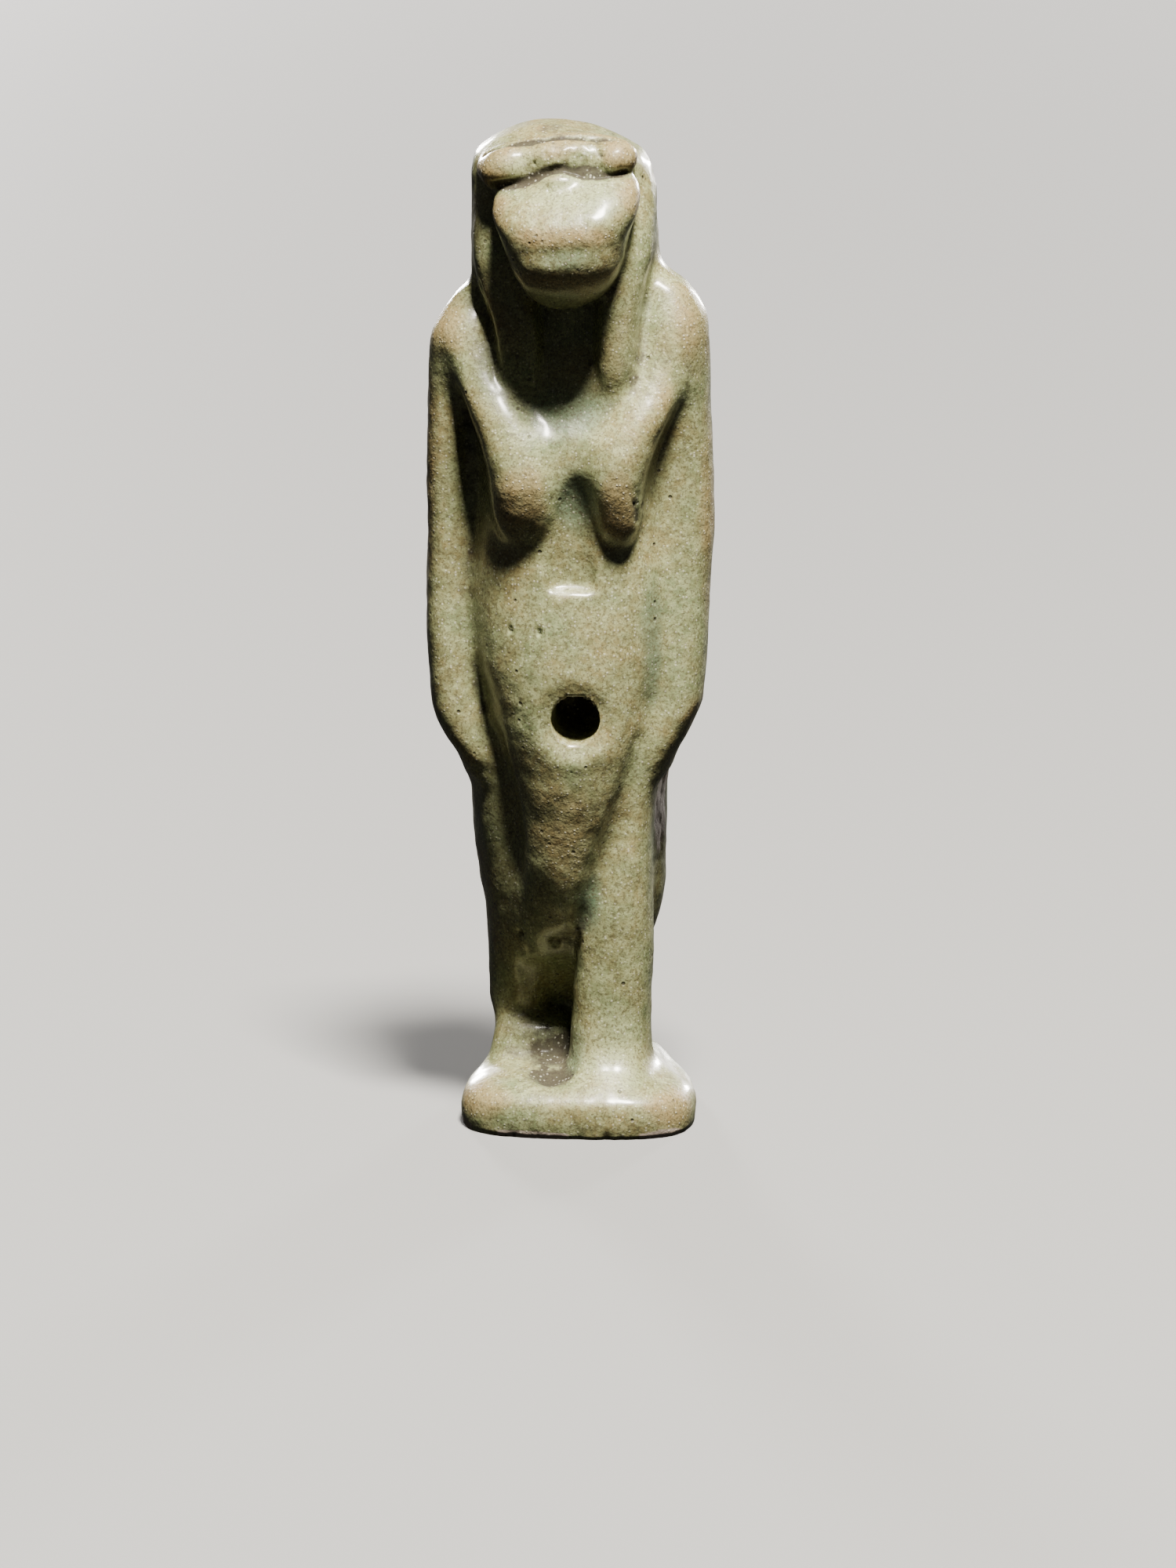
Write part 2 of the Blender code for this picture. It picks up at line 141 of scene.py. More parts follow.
WIG = [
    (77, -0.7, 1.6, 7.6, 4.2), (80, -0.7, 1.4, 8.8, 4.8), (85, -0.7, 1.1, 9.4, 5.4), (90, -0.8, 0.8, 9.2, 6),
    (95, -1.1, 0.6, 8.9, 6.3), (96.8, -1.2, 0.4, 8.4, 6.1), (98.2, -1.5, 0.2, 6.6, 5.4),
    (99.3, -1.9, 0, 4.2, 4.2), (100, -2.1, -0.2, 1.9, 2.2),
]
LEFT_LAPPET = [
    (72.6, -4.3, -4.6, 0.8, 1), (73.8, -4.4, -4.7, 1.6, 2), (76, -4.6, -4.3, 2.1, 2.7),
    (78, -4.8, -4, 2.3, 2.9), (80.6, -5.1, -3.6, 2.5, 3.1), (82.2, -5.6, -3.2, 2.7, 3.2),
    (84.5, -6.2, -2.7, 2.9, 3.5), (88, -6.6, -2, 3, 4), (93, -6.4, -0.8, 2.8, 4), (96, -6, 0.6, 2.2, 2.6),
]
RIGHT_LAPPET = [
    (72.8, 4.6, -5.6, 0.8, 1.2), (74.2, 4.7, -5.6, 1.6, 2), (76.5, 4.9, -5.5, 2, 2.7), (80, 5, -5.1, 2.1, 3),
    (85.3, 5.4, -4, 2.4, 3.6), (89, 5.7, -2.6, 2.7, 3.9), (93, 5.8, -0.8, 2.7, 3.8), (96, 5.6, 0.6, 2, 2.6),
]
NECK = [
    (75, 0.4, -0.6, 5.6, 4.6), (79, 0.4, -0.4, 5.6, 4), (83, 0.4, -0.8, 5, 4.2), (88, 0.4, -1.6, 4.6, 4.6),
]
SNOUT = [
    (83, 0.3, -7, 1.4, 1.8), (83.5, 0.35, -7.1, 2.6, 3), (84.3, 0.4, -7.3, 3.7, 4),
    (85.4, 0.4, -7.6, 4.6, 4.9), (86.4, 0.4, -7.9, 5.15, 5.4), (87.4, 0.35, -8, 5.55, 5.75),
    (88.6, 0.25, -8.1, 5.85, 5.9), (90, 0.1, -8.1, 6.3, 5.95), (91.3, 0.1, -8, 6.75, 5.9),
    (92.3, 0.1, -7.8, 7.1, 5.6), (93.3, 0.1, -7.4, 7.3, 5), (94.3, 0.1, -6.9, 7.2, 4.2),
    (95.2, 0.1, -6.4, 6.6, 3.2), (96, 0.1, -6.1, 5.6, 2.3), (96.5, 0, -6, 4.2, 1.7),
    (96.9, -0.1, -5.9, 2.6, 1.1),
]

# rings, softness of the join (or softness by height), squareness of the section, narrowing to the back if any
MASSES = [
    (BASE, 0, 3.4, 0.1), (PILLAR, 1, 6), (LEFT_HAUNCH, 1.2, 2.4), (RIGHT_HAUNCH, 1.2, 2.4), (WEB, 1.6, 2.3),
    (STANDING_LEG, 2.4, 2.2),
    (STRIDING_LEG, [(5, 1.8), (9, 1), (16, 0.6), (22, 1.2), (28, 1.8), (40, 2.6)], 2.6),
    (REAR_FOOT, [(4, 1.6), (8, 0.9)], 2.6),
    (TORSO, 1.6, 2.8),
    (BELLY, [(22, 3.2), (30, 2.6), (44, 3.2), (60, 3.2)], 2.1),
    (BREASTBONE, 1.6, 2.5),
    (LEFT_BREAST, [(58, 1), (64, 1.4), (70, 2.2)], 2.4),
    (RIGHT_BREAST, [(58, 1), (64, 1.3), (70, 2.4)], 2.3),
    (LEFT_ARM, [(35, 3.2), (42, 2.4), (50, 2.2), (70, 2.2), (78, 2.6)], 2.3),
    (RIGHT_ARM, [(35, 3.2), (42, 2.6), (50, 2.4), (70, 2.6), (78, 2.8)], 2.3),
    (NECK, 1.6, 2), (WIG, 0.7, 2.9),
    (LEFT_LAPPET, [(74, 1.4), (80, 0.5), (90, 0.8)], 3.2),
    (RIGHT_LAPPET, [(74, 1.6), (80, 1.2), (90, 0.9)], 2.2),
]
BROW = [
    ((-1.2, -4.3, 96.9), (7.9, 3.6, 2.8)), ((-5.6, -5.8, 96.4), (2.9, 2.4, 2.5)),
    ((4.7, -5.6, 97.5), (2.3, 2.6, 2)), ((-1, -6.3, 97.8), (3.6, 1.9, 1.5)),
]
# lumps that are put on after the snout: middle, radii, softness
LUMPS = [((-0.5, -7.7, 95.6), (2.3, 2, 1.15), 0.8)]
# how far the brow and the snout rise to the right, per unit of width
HEAD_TILT = 0.1
# the arch that is cut between the breasts, in rings as the masses are
NOTCH = [
    (55, 0.9, -11.6, 2.9, 2.6), (58, 0.9, -11.5, 2.8, 2.7), (60, 1, -11.5, 2.5, 2.7),
    (62.2, 1.1, -11.6, 2.2, 2.8), (64, 1.15, -11.7, 1.85, 2.7), (65.4, 1.15, -11.8, 1.4, 2.5),
    (66.6, 1.15, -12, 1, 2.1), (67.8, 1.1, -12.3, 0.5, 1.8),
]
# softness, how far outside the surface the groove's middle lies, and its points with their radii
GROOVES = [
    # the brow's upper line
    (0.25, 0, [
        (-8.3, -4.4, 97.6, 0.3), (-6.6, -5.6, 98.6, 0.5), (-4.6, -5.8, 98.9, 0.35), (-2.6, -5.6, 99.2, 0.55),
        (-0.4, -5.4, 99.5, 0.6), (2, -5.3, 99.5, 0.6), (4.3, -5.2, 99.3, 0.5), (6.6, -4.6, 98.6, 0.3),
    ]),
    # the crease between brow and snout
    (0.15, -0.05, [
        (-7.6, -7.6, 94.8, 0.42), (-5.8, -8.2, 95.2, 0.42), (-4.2, -8.4, 95.6, 0.42), (-2.8, -8.3, 96.1, 0.42),
        (-0.5, -8.1, 96.8, 0.42), (0.8, -8.1, 96.4, 0.42), (2, -8.2, 96, 0.42), (3.4, -8.2, 96, 0.42),
        (4.8, -8.2, 96.4, 0.42), (6.7, -7.8, 96.6, 0.42),
    ]),
    # the mouth's line
    (0.3, 0.08, [
        (-4.4, -13.7, 89.5, 0.1), (-2.6, -14.1, 89.4, 0.14), (-0.4, -14.2, 89.7, 0.14),
        (1.2, -14.2, 90.1, 0.16), (2.2, -14.1, 89.8, 0.14), (4, -13.8, 90.2, 0.06),
    ]),
    # the shallow dip below it
    (0.5, 0.95, [
        (-5, -13.7, 88.9, 0.7), (-2.4, -14.1, 89, 0.9), (0.4, -14.2, 89.3, 1),
        (3, -14, 89.6, 0.9), (5, -13.6, 89.8, 0.7),
    ]),
    # the left edge of the wig's hanging side
    (0.3, 0.05, [
        (-9.4, -5, 84.6, 0.5), (-8.6, -5.2, 82.2, 0.5), (-7.8, -5.6, 79.4, 0.4), (-7.3, -6.4, 76.6, 0.25),
        (-6.9, -7.2, 74.8, 0.02),
    ]),
    # the valleys at the right and the left of the lower belly
    (1.6, 0.75, [
        (1.6, -8.6, 20.5, 0.5), (2.6, -9, 23, 0.9), (3.9, -9.2, 26.9, 1.2), (5.3, -9.2, 30.8, 1.2),
        (6.4, -9, 34.5, 1), (7.2, -8.6, 39, 0.5),
    ]),
    (2, 0.6, [(-7, -7.5, 39, 0.4), (-6.2, -8, 34, 0.7), (-5.2, -7.4, 29, 0.8), (-3.8, -6.6, 25.6, 0.4)]),
]
# middle, radii, softness
HOLLOWS = [
    ((1.8, -9, 98.4), (2.2, 1.2, 0.8), 0.8), ((2.2, -8.6, 96.8), (2.1, 1, 0.55), 0.3),
    ((-1.2, -11.4, 6.1), (2.3, 2.2, 1.7), 0.8), ((15.2, 8, 6.6), (7.5, 18, 5.8), 0.9),
    ((-13.2, 8, 6.7), (6.5, 18, 5.4), 0.9),
]
# folds between the legs: softness, and points with their radii
RIDGES = [
    (0.8, [
        (-7, -4.2, 24, 0.1), (-6.6, -3.9, 21, 0.4), (-6, -3.6, 17.6, 0.5), (-5.4, -2.9, 14, 0.5),
        (-5.1, -2.2, 11.4, 0.3),
    ]),
    (0.7, [
        (-4.6, -4.9, 20.2, 0.1), (-3.9, -3.9, 17.4, 0.35), (-3.5, -2.6, 14.4, 0.35), (-3.4, -1.6, 12.2, 0.2),
    ]),
]
# x, z, radius, depth
NAVEL = (1.31, 42.0, 2.44, 7.5)
# where the surface is rough: middle, radii, strength, size, seed
ROUGH_PLACES = [
    ((0.4, -7, 97.9), (8, 3.2, 2.2), 0.13, 0.9, 41), ((9.6, -1.5, 30.5), (2.2, 4.2, 8.5), 0.14, 0.9, 47),
    ((0.5, -14, 89), (5.5, 2.5, 1.6), 0.05, 0.8, 53), ((7.8, -8.4, 61.5), (1.8, 3.5, 4.5), 0.14, 0.9, 59),
    ((0, -15, 1.2), (12, 3, 2.2), 0.14, 1.2, 61), ((-2.2, -8.5, 6.4), (4.2, 4.5, 3.4), 0.22, 1.1, 67),
    ((-3.4, -3.5, 17.5), (2.8, 3, 3.5), 0.3, 1.6, 71),
]
# single pits: middle, radius, depth
PITS = [
    ((6.9, -10, 63.8), 0.3, 0.36), ((8, -7.6, 63.2), 0.32, 0.36), ((-0.75, -10.9, 64.1), 0.2, 0.2),
    ((-5.6, -10.4, 50.8), 0.3, 0.35), ((-2.4, -11.2, 50.8), 0.32, 0.35), ((-3.8, -4.6, 19.2), 0.5, 0.5),
    ((-1.2, -6.4, 17.9), 0.55, 0.5), ((3, -6.2, 99.4), 0.3, 0.2), ((-2, -7.8, 98.4), 0.22, 0.2),
    ((1.6, -8, 98.1), 0.24, 0.2), ((3.4, -7.6, 98.3), 0.2, 0.2), ((-1.4, -9.6, 95), 0.22, 0.16),
    ((0.9, -10.2, 94.8), 0.2, 0.14), ((-3.1, -8, 97.4), 0.22, 0.18), ((6.1, -8.6, 9.4), 0.3, 0.2),
]


# The block of clay


def smooth_rings(rings, count=241):
    """Smooth curves through the rings: in each column a cubic passes through every value, at the harmonic
    mean of the slopes on its two sides, and flat where they turn round."""
    table = np.array(rings, float)
    z, values = table[:, :1], table[:, 1:]
    step = np.diff(z, axis=0)
    slope = np.diff(values, axis=0) / step
    before, after = slope[:-1], slope[1:]
    onward = before * after > 0
    inner = np.where(onward, 2 * before * after / np.where(onward, before + after, 1), 0)
    tangent = np.vstack((slope[:1], inner, slope[-1:]))
    at = np.linspace(z[0, 0], z[-1, 0], count)
    i = np.clip(np.searchsorted(z[:, 0], at, side="right") - 1, 0, len(z) - 2)
    h = step[i]
    t = (at[:, None] - z[i]) / h
    made = (
        (2 * t**3 - 3 * t**2 + 1) * values[i]
        + (t**3 - 2 * t**2 + t) * h * tangent[i]
        + (3 * t**2 - 2 * t**3) * values[i + 1]
        + (t**3 - t**2) * h * tangent[i + 1]
    )
    return at, made.T


class Clay:
    """Small cells, each with its distance to the surface: below nought in the clay, above it in the air."""

    def __init__(self, low, high, cell):
        self.low, self.cell = np.array(low, float), cell
        counts = np.ceil((np.array(high) - self.low) / cell).astype(int) + 1
        self.axes = [self.low[k] + cell * np.arange(counts[k]) for k in range(3)]
        self.depth = np.full(counts, 8.0, np.float32)
        self.lines = []

    def window(self, low, high, margin):
        """The cells between two corners, and their x, y and z."""
        cut = []
        for k in range(3):
            first = int(np.clip((low[k] - margin - self.low[k]) // self.cell, 0, len(self.axes[k]) - 1))
            last = (high[k] + margin - self.low[k]) // self.cell + 2
            last = int(np.clip(last, first + 1, len(self.axes[k])))
            cut.append(slice(first, last))
        x, y, z = (self.axes[k][cut[k]].astype(np.float32) for k in range(3))
        return tuple(cut), x[:, None, None], y[None, :, None], z[None, None, :]

    def merge(self, cut, shape, softness, away):
        """Adds a shape, by the lesser of the two distances, rounded where they come within the softness. With
        both signs turned, the same takes a shape away."""
        sign = -1 if away else 1
        here = sign * self.depth[cut]
        if np.isscalar(softness) and softness <= 0:
            self.depth[cut] = sign * np.minimum(here, shape)
            return
        t = np.clip(0.5 + 0.5 * (here - shape) / softness, 0, 1)
        self.depth[cut] = sign * (here * (1 - t) + shape * t - softness * t * (1 - t))

    def loft(self, rings, softness, squareness, narrowing=0.0, roll=0.0, away=False):
        """A mass of level sections that are superellipses, |x/w|^n + |y/d|^n = 1, and change smoothly."""
        at, (cx, cy, hw, hd) = smooth_rings(rings)
        table = np.array(rings, float)
        low = (np.min(table[:, 1] - table[:, 3]), np.min(table[:, 2] - table[:, 4]), table[0, 0])
        high = (np.max(table[:, 1] + table[:, 3]), np.max(table[:, 2] + table[:, 4]), table[-1, 0])
        cut, x, y, z = self.window(low, high, 2.0 + abs(roll) * (high[0] - low[0]) / 2)
        level = z - roll * (x - (low[0] + high[0]) / 2)
        beyond = np.maximum(at[0] - level, level - at[-1]).clip(0)
        kept = np.clip(level, at[0], at[-1])

        def look(values):
            return np.interp(kept, at, values).astype(np.float32)

        dx, dy = x - look(cx), y - look(cy)
        w, d = look(hw), look(hd)
        if narrowing:
            w = w * np.clip(1 - narrowing * np.clip(dy / d, -1.2, 1.2), 0.2, 2)
        share = (np.abs(dx / w) ** squareness + np.abs(dy / d) ** squareness) ** (1 / squareness)
        reach = np.sqrt(dx * dx + dy * dy)
        flat = np.maximum(reach * (1 - 1 / np.maximum(share, 1e-4)), -np.minimum(w, d))
        sideways = (dx / w) ** 2 / ((dx / w) ** 2 + (dy / d) ** 2 + 1e-9)
        steep = look(np.abs(np.gradient(hw, at)).clip(0, 5)) * sideways
        steep = steep + look(np.abs(np.gradient(hd, at)).clip(0, 5)) * (1 - sideways)
        flat = flat / np.sqrt(1 + steep**2)
        shape = np.where(beyond > 0, np.sqrt(np.maximum(flat, 0) ** 2 + beyond**2), flat).astype(np.float32)
        if not np.isscalar(softness):
            softness = np.interp(z, *np.array(softness, np.float32).T).astype(np.float32)
        self.merge(cut, shape, softness, away)

    def ball(self, middle, radii, softness, roll=0.0, away=False):
        """An ellipsoid. The distance is k(k-1)/g, with k the share of the radii reached and g its slope."""
        middle, radii = np.array(middle, float), np.array(radii, float)
        cut, x, y, z = self.window(middle - radii, middle + radii, 2.0 + abs(roll) * radii[0])
        dx, dy = x - middle[0], y - middle[1]
        dz = z - middle[2] - roll * dx
        k = np.sqrt((dx / radii[0]) ** 2 + (dy / radii[1]) ** 2 + (dz / radii[2]) ** 2)
        g = np.sqrt((dx / radii[0] ** 2) ** 2 + (dy / radii[1] ** 2) ** 2 + (dz / radii[2] ** 2) ** 2)
        shape = (k * (k - 1) / np.maximum(g, 1e-5)).astype(np.float32)
        self.merge(cut, shape, softness, away)

    def rod(self, line, softness, away=False):
        """A rounded rod along straight pieces: the distance to the nearest point of the line, less a radius
        that changes evenly from point to point. Each row of the line is x, y, z and radius."""
        points, radii = line[:, :3], line[:, 3]
        cut, x, y, z = self.window(points.min(0) - radii.max(), points.max(0) + radii.max(), 1.5)
        shape = None
        for a, b, ra, rb in zip(points[:-1], points[1:], radii[:-1], radii[1:]):
            run = b - a
            t = np.clip(((x - a[0]) * run[0] + (y - a[1]) * run[1] + (z - a[2]) * run[2]) / (run @ run), 0, 1)
            near = (x - a[0] - t * run[0]) ** 2 + (y - a[1] - t * run[1]) ** 2 + (z - a[2] - t * run[2]) ** 2
            near = np.sqrt(near) - ra - (rb - ra) * t
            shape = near if shape is None else np.minimum(shape, near)
        self.merge(cut, shape.astype(np.float32), softness, away)

    def soften(self, passes):
        """Along each axis, every cell takes half of itself and a quarter of each neighbour."""
        for _ in range(passes):
            for axis in range(3):
                grid = np.moveaxis(self.depth, axis, 0)
                grid[1:-1] = 0.25 * (grid[:-2] + grid[2:]) + 0.5 * grid[1:-1]

    def read(self, points, grid=None):
        """Values between the cells, by three-way linear interpolation."""
        grid = self.depth if grid is None else grid
        q = np.clip((points - self.low) / self.cell, 0, np.array(grid.shape) - 1.001)
        i = q.astype(np.int64)
        t = (q - i).astype(np.float32)
        flat = grid.ravel()
        row, layer = grid.shape[2], grid.shape[1] * grid.shape[2]
        start = i[..., 0] * layer + i[..., 1] * row + i[..., 2]
        tx, ty, tz = t[..., 0], t[..., 1], t[..., 2]

        def along_z(at):
            return flat[at] * (1 - tz) + flat[at + 1] * tz

        near = along_z(start) * (1 - ty) + along_z(start + row) * ty
        far = along_z(start + layer) * (1 - ty) + along_z(start + layer + row) * ty
        return near * (1 - tx) + far * tx

    def lean(self, points):
        """Which way the distance grows at a point, and how fast."""
        made = np.empty(points.shape, np.float32)
        for k in range(3):
            aside = np.zeros(3)
            aside[k] = self.cell
            made[..., k] = (self.read(points + aside) - self.read(points - aside)) / (2 * self.cell)
        return made

    def outward(self, points, far=1.0):
        """A step of a given length straight out of the surface at each point."""
        lean = self.lean(points)
        return far * lean / np.maximum(np.linalg.norm(lean, axis=-1, keepdims=True), 1e-6)

    def settle(self, points, steps=2):
        """Moves points on to the surface, down or up the slope of the distance."""
        for _ in range(steps):
            lean = self.lean(points)
            size = np.maximum((lean**2).sum(-1), 0.08)
            points = points + lean * np.clip(-self.read(points) / size, -1.0, 1.0)[..., None]
        return points


def model_clay(cell):
    """The whole figure as clay: every mass joined to the ones before it, then the carving."""
    clay = Clay((-17.0, -17.5, -1.0), (16.5, 12.0, 102.5), cell)
    for mass in MASSES:
        clay.loft(*mass)
    for middle, radii in BROW:
        clay.ball(middle, radii, 0.6, HEAD_TILT)
    clay.loft(NOTCH, 0.35, 2.8, away=True)
    for middle, radii, softness in HOLLOWS:
        clay.ball(middle, radii, softness, away=True)
    clay.loft(SNOUT, 0.35, 2.5, roll=HEAD_TILT)
    for middle, radii, softness in LUMPS:
        clay.ball(middle, radii, softness)
    for softness, line in RIDGES:
        clay.rod(np.array(line, float), softness)
    for softness, off, line in GROOVES:
        line = np.array(line, float)
        points = clay.settle(line[:, :3], 4)
        line[:, :3] = points + clay.outward(points, off)
        clay.rod(line, softness, away=True)
        clay.lines.append(line[:, :3])
    clay.soften(2)
    return clay


# The skin: a grid around and up the figure

AROUND = 288
ROWS = 336
CROWN_ROWS = 66
UNDER_ROWS = 8
# the rays tilt up from this height to these degrees, and look for the surface from this far out in paces
TILT_FROM, TILT_TO = 92.5, 84
FARTHEST, PACE = 16.0, 0.4
# height, x of the middle, y of the middle, half length of the line that the rays leave
SPINE = [
    (0, 1.3, -2, 5.5), (5, 1, -2, 5.5), (10, 0, 0.5, 5), (20, 0, 0, 5), (34, 0, -0.6, 7.5),
    (42, 0, -0.8, 10.5), (60, 0, 0, 11.5), (76, 0, 0.4, 11), (82, 0, 0.4, 8), (88, -0.5, -1, 6),
    (94, -1, -1.5, 6),
]


def even_out(points, clay, rounds, pull=0.6):
    """Slides a grid along the surface to even out its cells: each point goes towards the middle of its four
    neighbours, less the part of that move that leaves the surface. The lowest row keeps its height."""
    for _ in range(rounds):
        up = np.concatenate((points[1:], points[-1:]), 0)
        down = np.concatenate((points[:1], points[:-1]), 0)
        side = np.roll(points, 1, 1) + np.roll(points, -1, 1)
        move = (up + down + side) / 4 - points
        move[-1] = side[-1] / 2 - points[-1]
        lean = clay.outward(points)
        move -= lean * (move * lean).sum(-1, keepdims=True)
        points = points + pull * move
        points[0, :, 2] = 0.0
        points = clay.settle(points, 1)
        points[0, :, 2] = 0.0
    return points


def twice_as_fine(points):
    """A grid with a new point between every two, by the cubic through four neighbours, closed around."""
    before, after, last = np.roll(points, 1, 1), np.roll(points, -1, 1), np.roll(points, -2, 1)
    middle = (9 * (points + after) - before - last) / 16
    wide = np.stack((points, middle), 2).reshape(points.shape[0], -1, 3)
    low = np.concatenate((wide[:1], wide[:-2]), 0)
    high = np.concatenate((wide[2:], wide[-1:]), 0)
    between = (9 * (wide[:-1] + wide[1:]) - low - high) / 16
    made = np.empty((2 * len(wide) - 1, wide.shape[1], 3))
    made[0::2], made[1::2] = wide, between
    return made


def first_skin(clay, around, rows, crown_rows):
    """Rows of points where rays meet the surface from outside. The rays leave a level line inside the figure,
    square to it in front and behind and fanned at its ends, and tilt up over the head."""
    share = np.arange(around) / around
    # shares of the way around: back, back right, front right, front left, back left and back
    knots = np.array([0.0, 0.12, 0.27, 0.73, 0.88, 1.0])
    side = np.interp(share, knots, [0.0, 1.0, 1.0, -1.0, -1.0, 0.0])
    turn = np.interp(share, knots, [0.0, 0.0, math.pi, math.pi, 2 * math.pi, 2 * math.pi])
    level = rows - crown_rows
    z = np.concatenate((np.linspace(0, TILT_FROM, level, endpoint=False), np.full(crown_rows, TILT_FROM)))
    tilt = np.concatenate((np.zeros(level), np.linspace(0, math.radians(TILT_TO), crown_rows)))[:, None]
    spine = np.array(SPINE)
    x, y, half = (np.interp(z, spine[:, 0], spine[:, k])[:, None] for k in (1, 2, 3))
    half = half * np.cos(tilt) ** 0.7
    start = np.stack(np.broadcast_arrays(x + half * side, y, z[:, None]), -1)
    way = (np.cos(tilt) * np.sin(turn), np.cos(tilt) * np.cos(turn), np.sin(tilt))
    way = np.stack(np.broadcast_arrays(*way), -1)
    reach = np.full((rows, around), FARTHEST)
    found = np.zeros((rows, around), bool)
    for distance in np.arange(FARTHEST, 0.0, -PACE):
        inside = clay.read(start + way * distance) < 0
        reach[inside & ~found] = distance
        found |= inside
    reach[~found] = 0.2
    low, high = reach, reach + PACE
    for _ in range(6):
        middle = (low + high) / 2
        inside = clay.read(start + way * middle[..., None]) < 0
        low, high = np.where(inside, middle, low), np.where(inside, high, middle)
    return start + way * low[..., None]


def skin(clay):
    """A coarse skin evened out, then twice as fine, settled and evened out again."""
    coarse = even_out(first_skin(clay, AROUND // 2, ROWS // 2, CROWN_ROWS // 2), clay, 60)
    fine = clay.settle(twice_as_fine(coarse), 2)
    return even_out(fine, clay, 8)


def drill(points):
    """The navel: rings near the rim are drawn on to it, and those inside go straight back in a steep wall and
    a rounded floor. The skin dips towards the rim as a bell curve does and swells a little below it."""
    x, z, radius, depth = NAVEL
    front = points[..., 1] < 0
    dx, dz = points[..., 0] - x, points[..., 2] - z
    reach = np.sqrt(dx**2 + dz**2)
    lip = np.exp(-(((reach - radius * 1.75) / 0.9) ** 2)) * (0.5 - 0.5 * dz / np.maximum(reach, 0.1))
    funnel = np.exp(-((np.maximum(reach - radius, 0) / 1.1) ** 2))
    off = np.clip((reach - radius) / 0.7, -1, 1)
    near = radius + 0.7 * off * np.abs(off) ** 0.7
    at_rim = np.where(np.abs(off) < 1, near, reach)
    share = np.clip(reach / radius, 0, 1)
    wall = np.clip((share - 0.5) / 0.5, 0, 1)
    inside = np.where(share > 0.5, radius * (0.86 + 0.14 * wall**0.5), radius * 0.86 * share / 0.5)
    new_reach = np.where(reach < radius, np.minimum(inside, radius), at_rim)
    scale = np.where(front & (reach < radius + 0.7), new_reach / np.maximum(reach, 1e-6), 1)
    sunk = depth * (1 - wall**2) * (1 - 0.1 * share**2)
    made = points.copy()
    made[..., 0] = x + dx * scale
    made[..., 2] = z + dz * scale
    made[..., 1] += np.where(reach < radius, sunk, 0) + 0.5 * funnel - 0.14 * lip
    return np.where((front & (reach < 3 * radius))[..., None], made, points)


def murmur(points, size, seed):
    """Smooth random values: a lattice of random numbers from -1 to 1, read between its knots with an eased
    cubic step, and a second layer of half the size and half the strength."""
    total = 0.0
    for layer in range(2):
        lattice = np.random.default_rng(seed + layer).uniform(-1, 1, (32, 32, 32)).astype(np.float32)
        q = points / size * 2**layer + 64
        low = np.floor(q).astype(np.int64)
        t = q - low
        t = t * t * (3 - 2 * t)
        value = 0.0
        for corner in range(8):
            step = np.array([corner & 1, corner >> 1 & 1, corner >> 2 & 1])
            at = (low + step) % 32
            weight = np.prod(np.where(step, t, 1 - t), axis=-1)
            value = value + weight * lattice[at[..., 0], at[..., 1], at[..., 2]]
        total = total + value / 2**layer
    return total


def weather(points, clay):
    """Uneven pressing everywhere, crumbled places and single pits, deepest in the middle by a bell curve, as
    a move straight in or out. The underside stays flat. Also gives how deep each point has sunk, up to 1."""
    lean = clay.outward(points)
    # the fine layer fades near the crown, where the cells are drawn out
    fade = np.clip((99.5 - points[..., 2]) / 3, 0.2, 1)
    move = 0.10 * murmur(points, 4.5, 3) + 0.04 * fade * murmur(points, 1.2, 11)
    for middle, radii, strength, size, seed in ROUGH_PLACES:
        place = pool(points, middle, radii)
        move += place * strength * np.clip(murmur(points, size, seed), -0.8, 0.35)
    for middle, radius, depth in PITS:
        reach = ((points - clay.settle(np.array([middle], float), 4)[0]) ** 2).sum(-1)
        move -= depth * np.exp(-reach / radius**2)
    foot = np.clip(1.0 - points[..., 2], 0, 1) * (points[..., 1] < -9)
    move += foot * (0.09 * np.minimum(murmur(points, 0.7, 29), 0.2) - 0.03)
    x, z, radius, _ = NAVEL
    hole = np.sqrt((points[..., 0] - x) ** 2 + (points[..., 2] - z) ** 2) < radius * 1.1
    move = np.where(hole & (points[..., 1] < 0), 0, move)
    made = points + lean * move[..., None]
    made[..., 2] = np.maximum(made[..., 2], 0)
    made[0, :, 2] = 0
    return made, np.clip(-move / 0.25, 0, 1)


def close_up(points):
    """The grid's faces, with a fan at the crown and rows that shrink to the middle of the flat underside."""
    rows, around, _ = points.shape
    middle = points[0].mean(0) * (1, 1, 0)
    shrink = np.linspace(1, 0, UNDER_ROWS + 1)[1:-1, None, None]
    under = middle + (points[0] * (1, 1, 0) - middle) * shrink
    grid = np.concatenate((under[::-1], points), 0)
    count = len(grid)
    crown = points[-1].mean(0)
    crown[2] += 0.02
    verts = np.concatenate((grid.reshape(-1, 3), [middle, crown]), 0)
    col = np.arange(around)
    following = (col + 1) % around
    row = around * np.arange(count - 1)[:, None]
    a, b = row + col, row + following
    quads = np.stack((a, b, b + around, a + around), -1).reshape(-1, 4)
    top = (count - 1) * around
    fan_under = np.stack((following, col, np.full(around, count * around)), -1)
    fan_crown = np.stack((top + col, top + following, np.full(around, count * around + 1)), -1)
    return verts, quads, np.concatenate((fan_under, fan_crown))


# Masks for the glaze

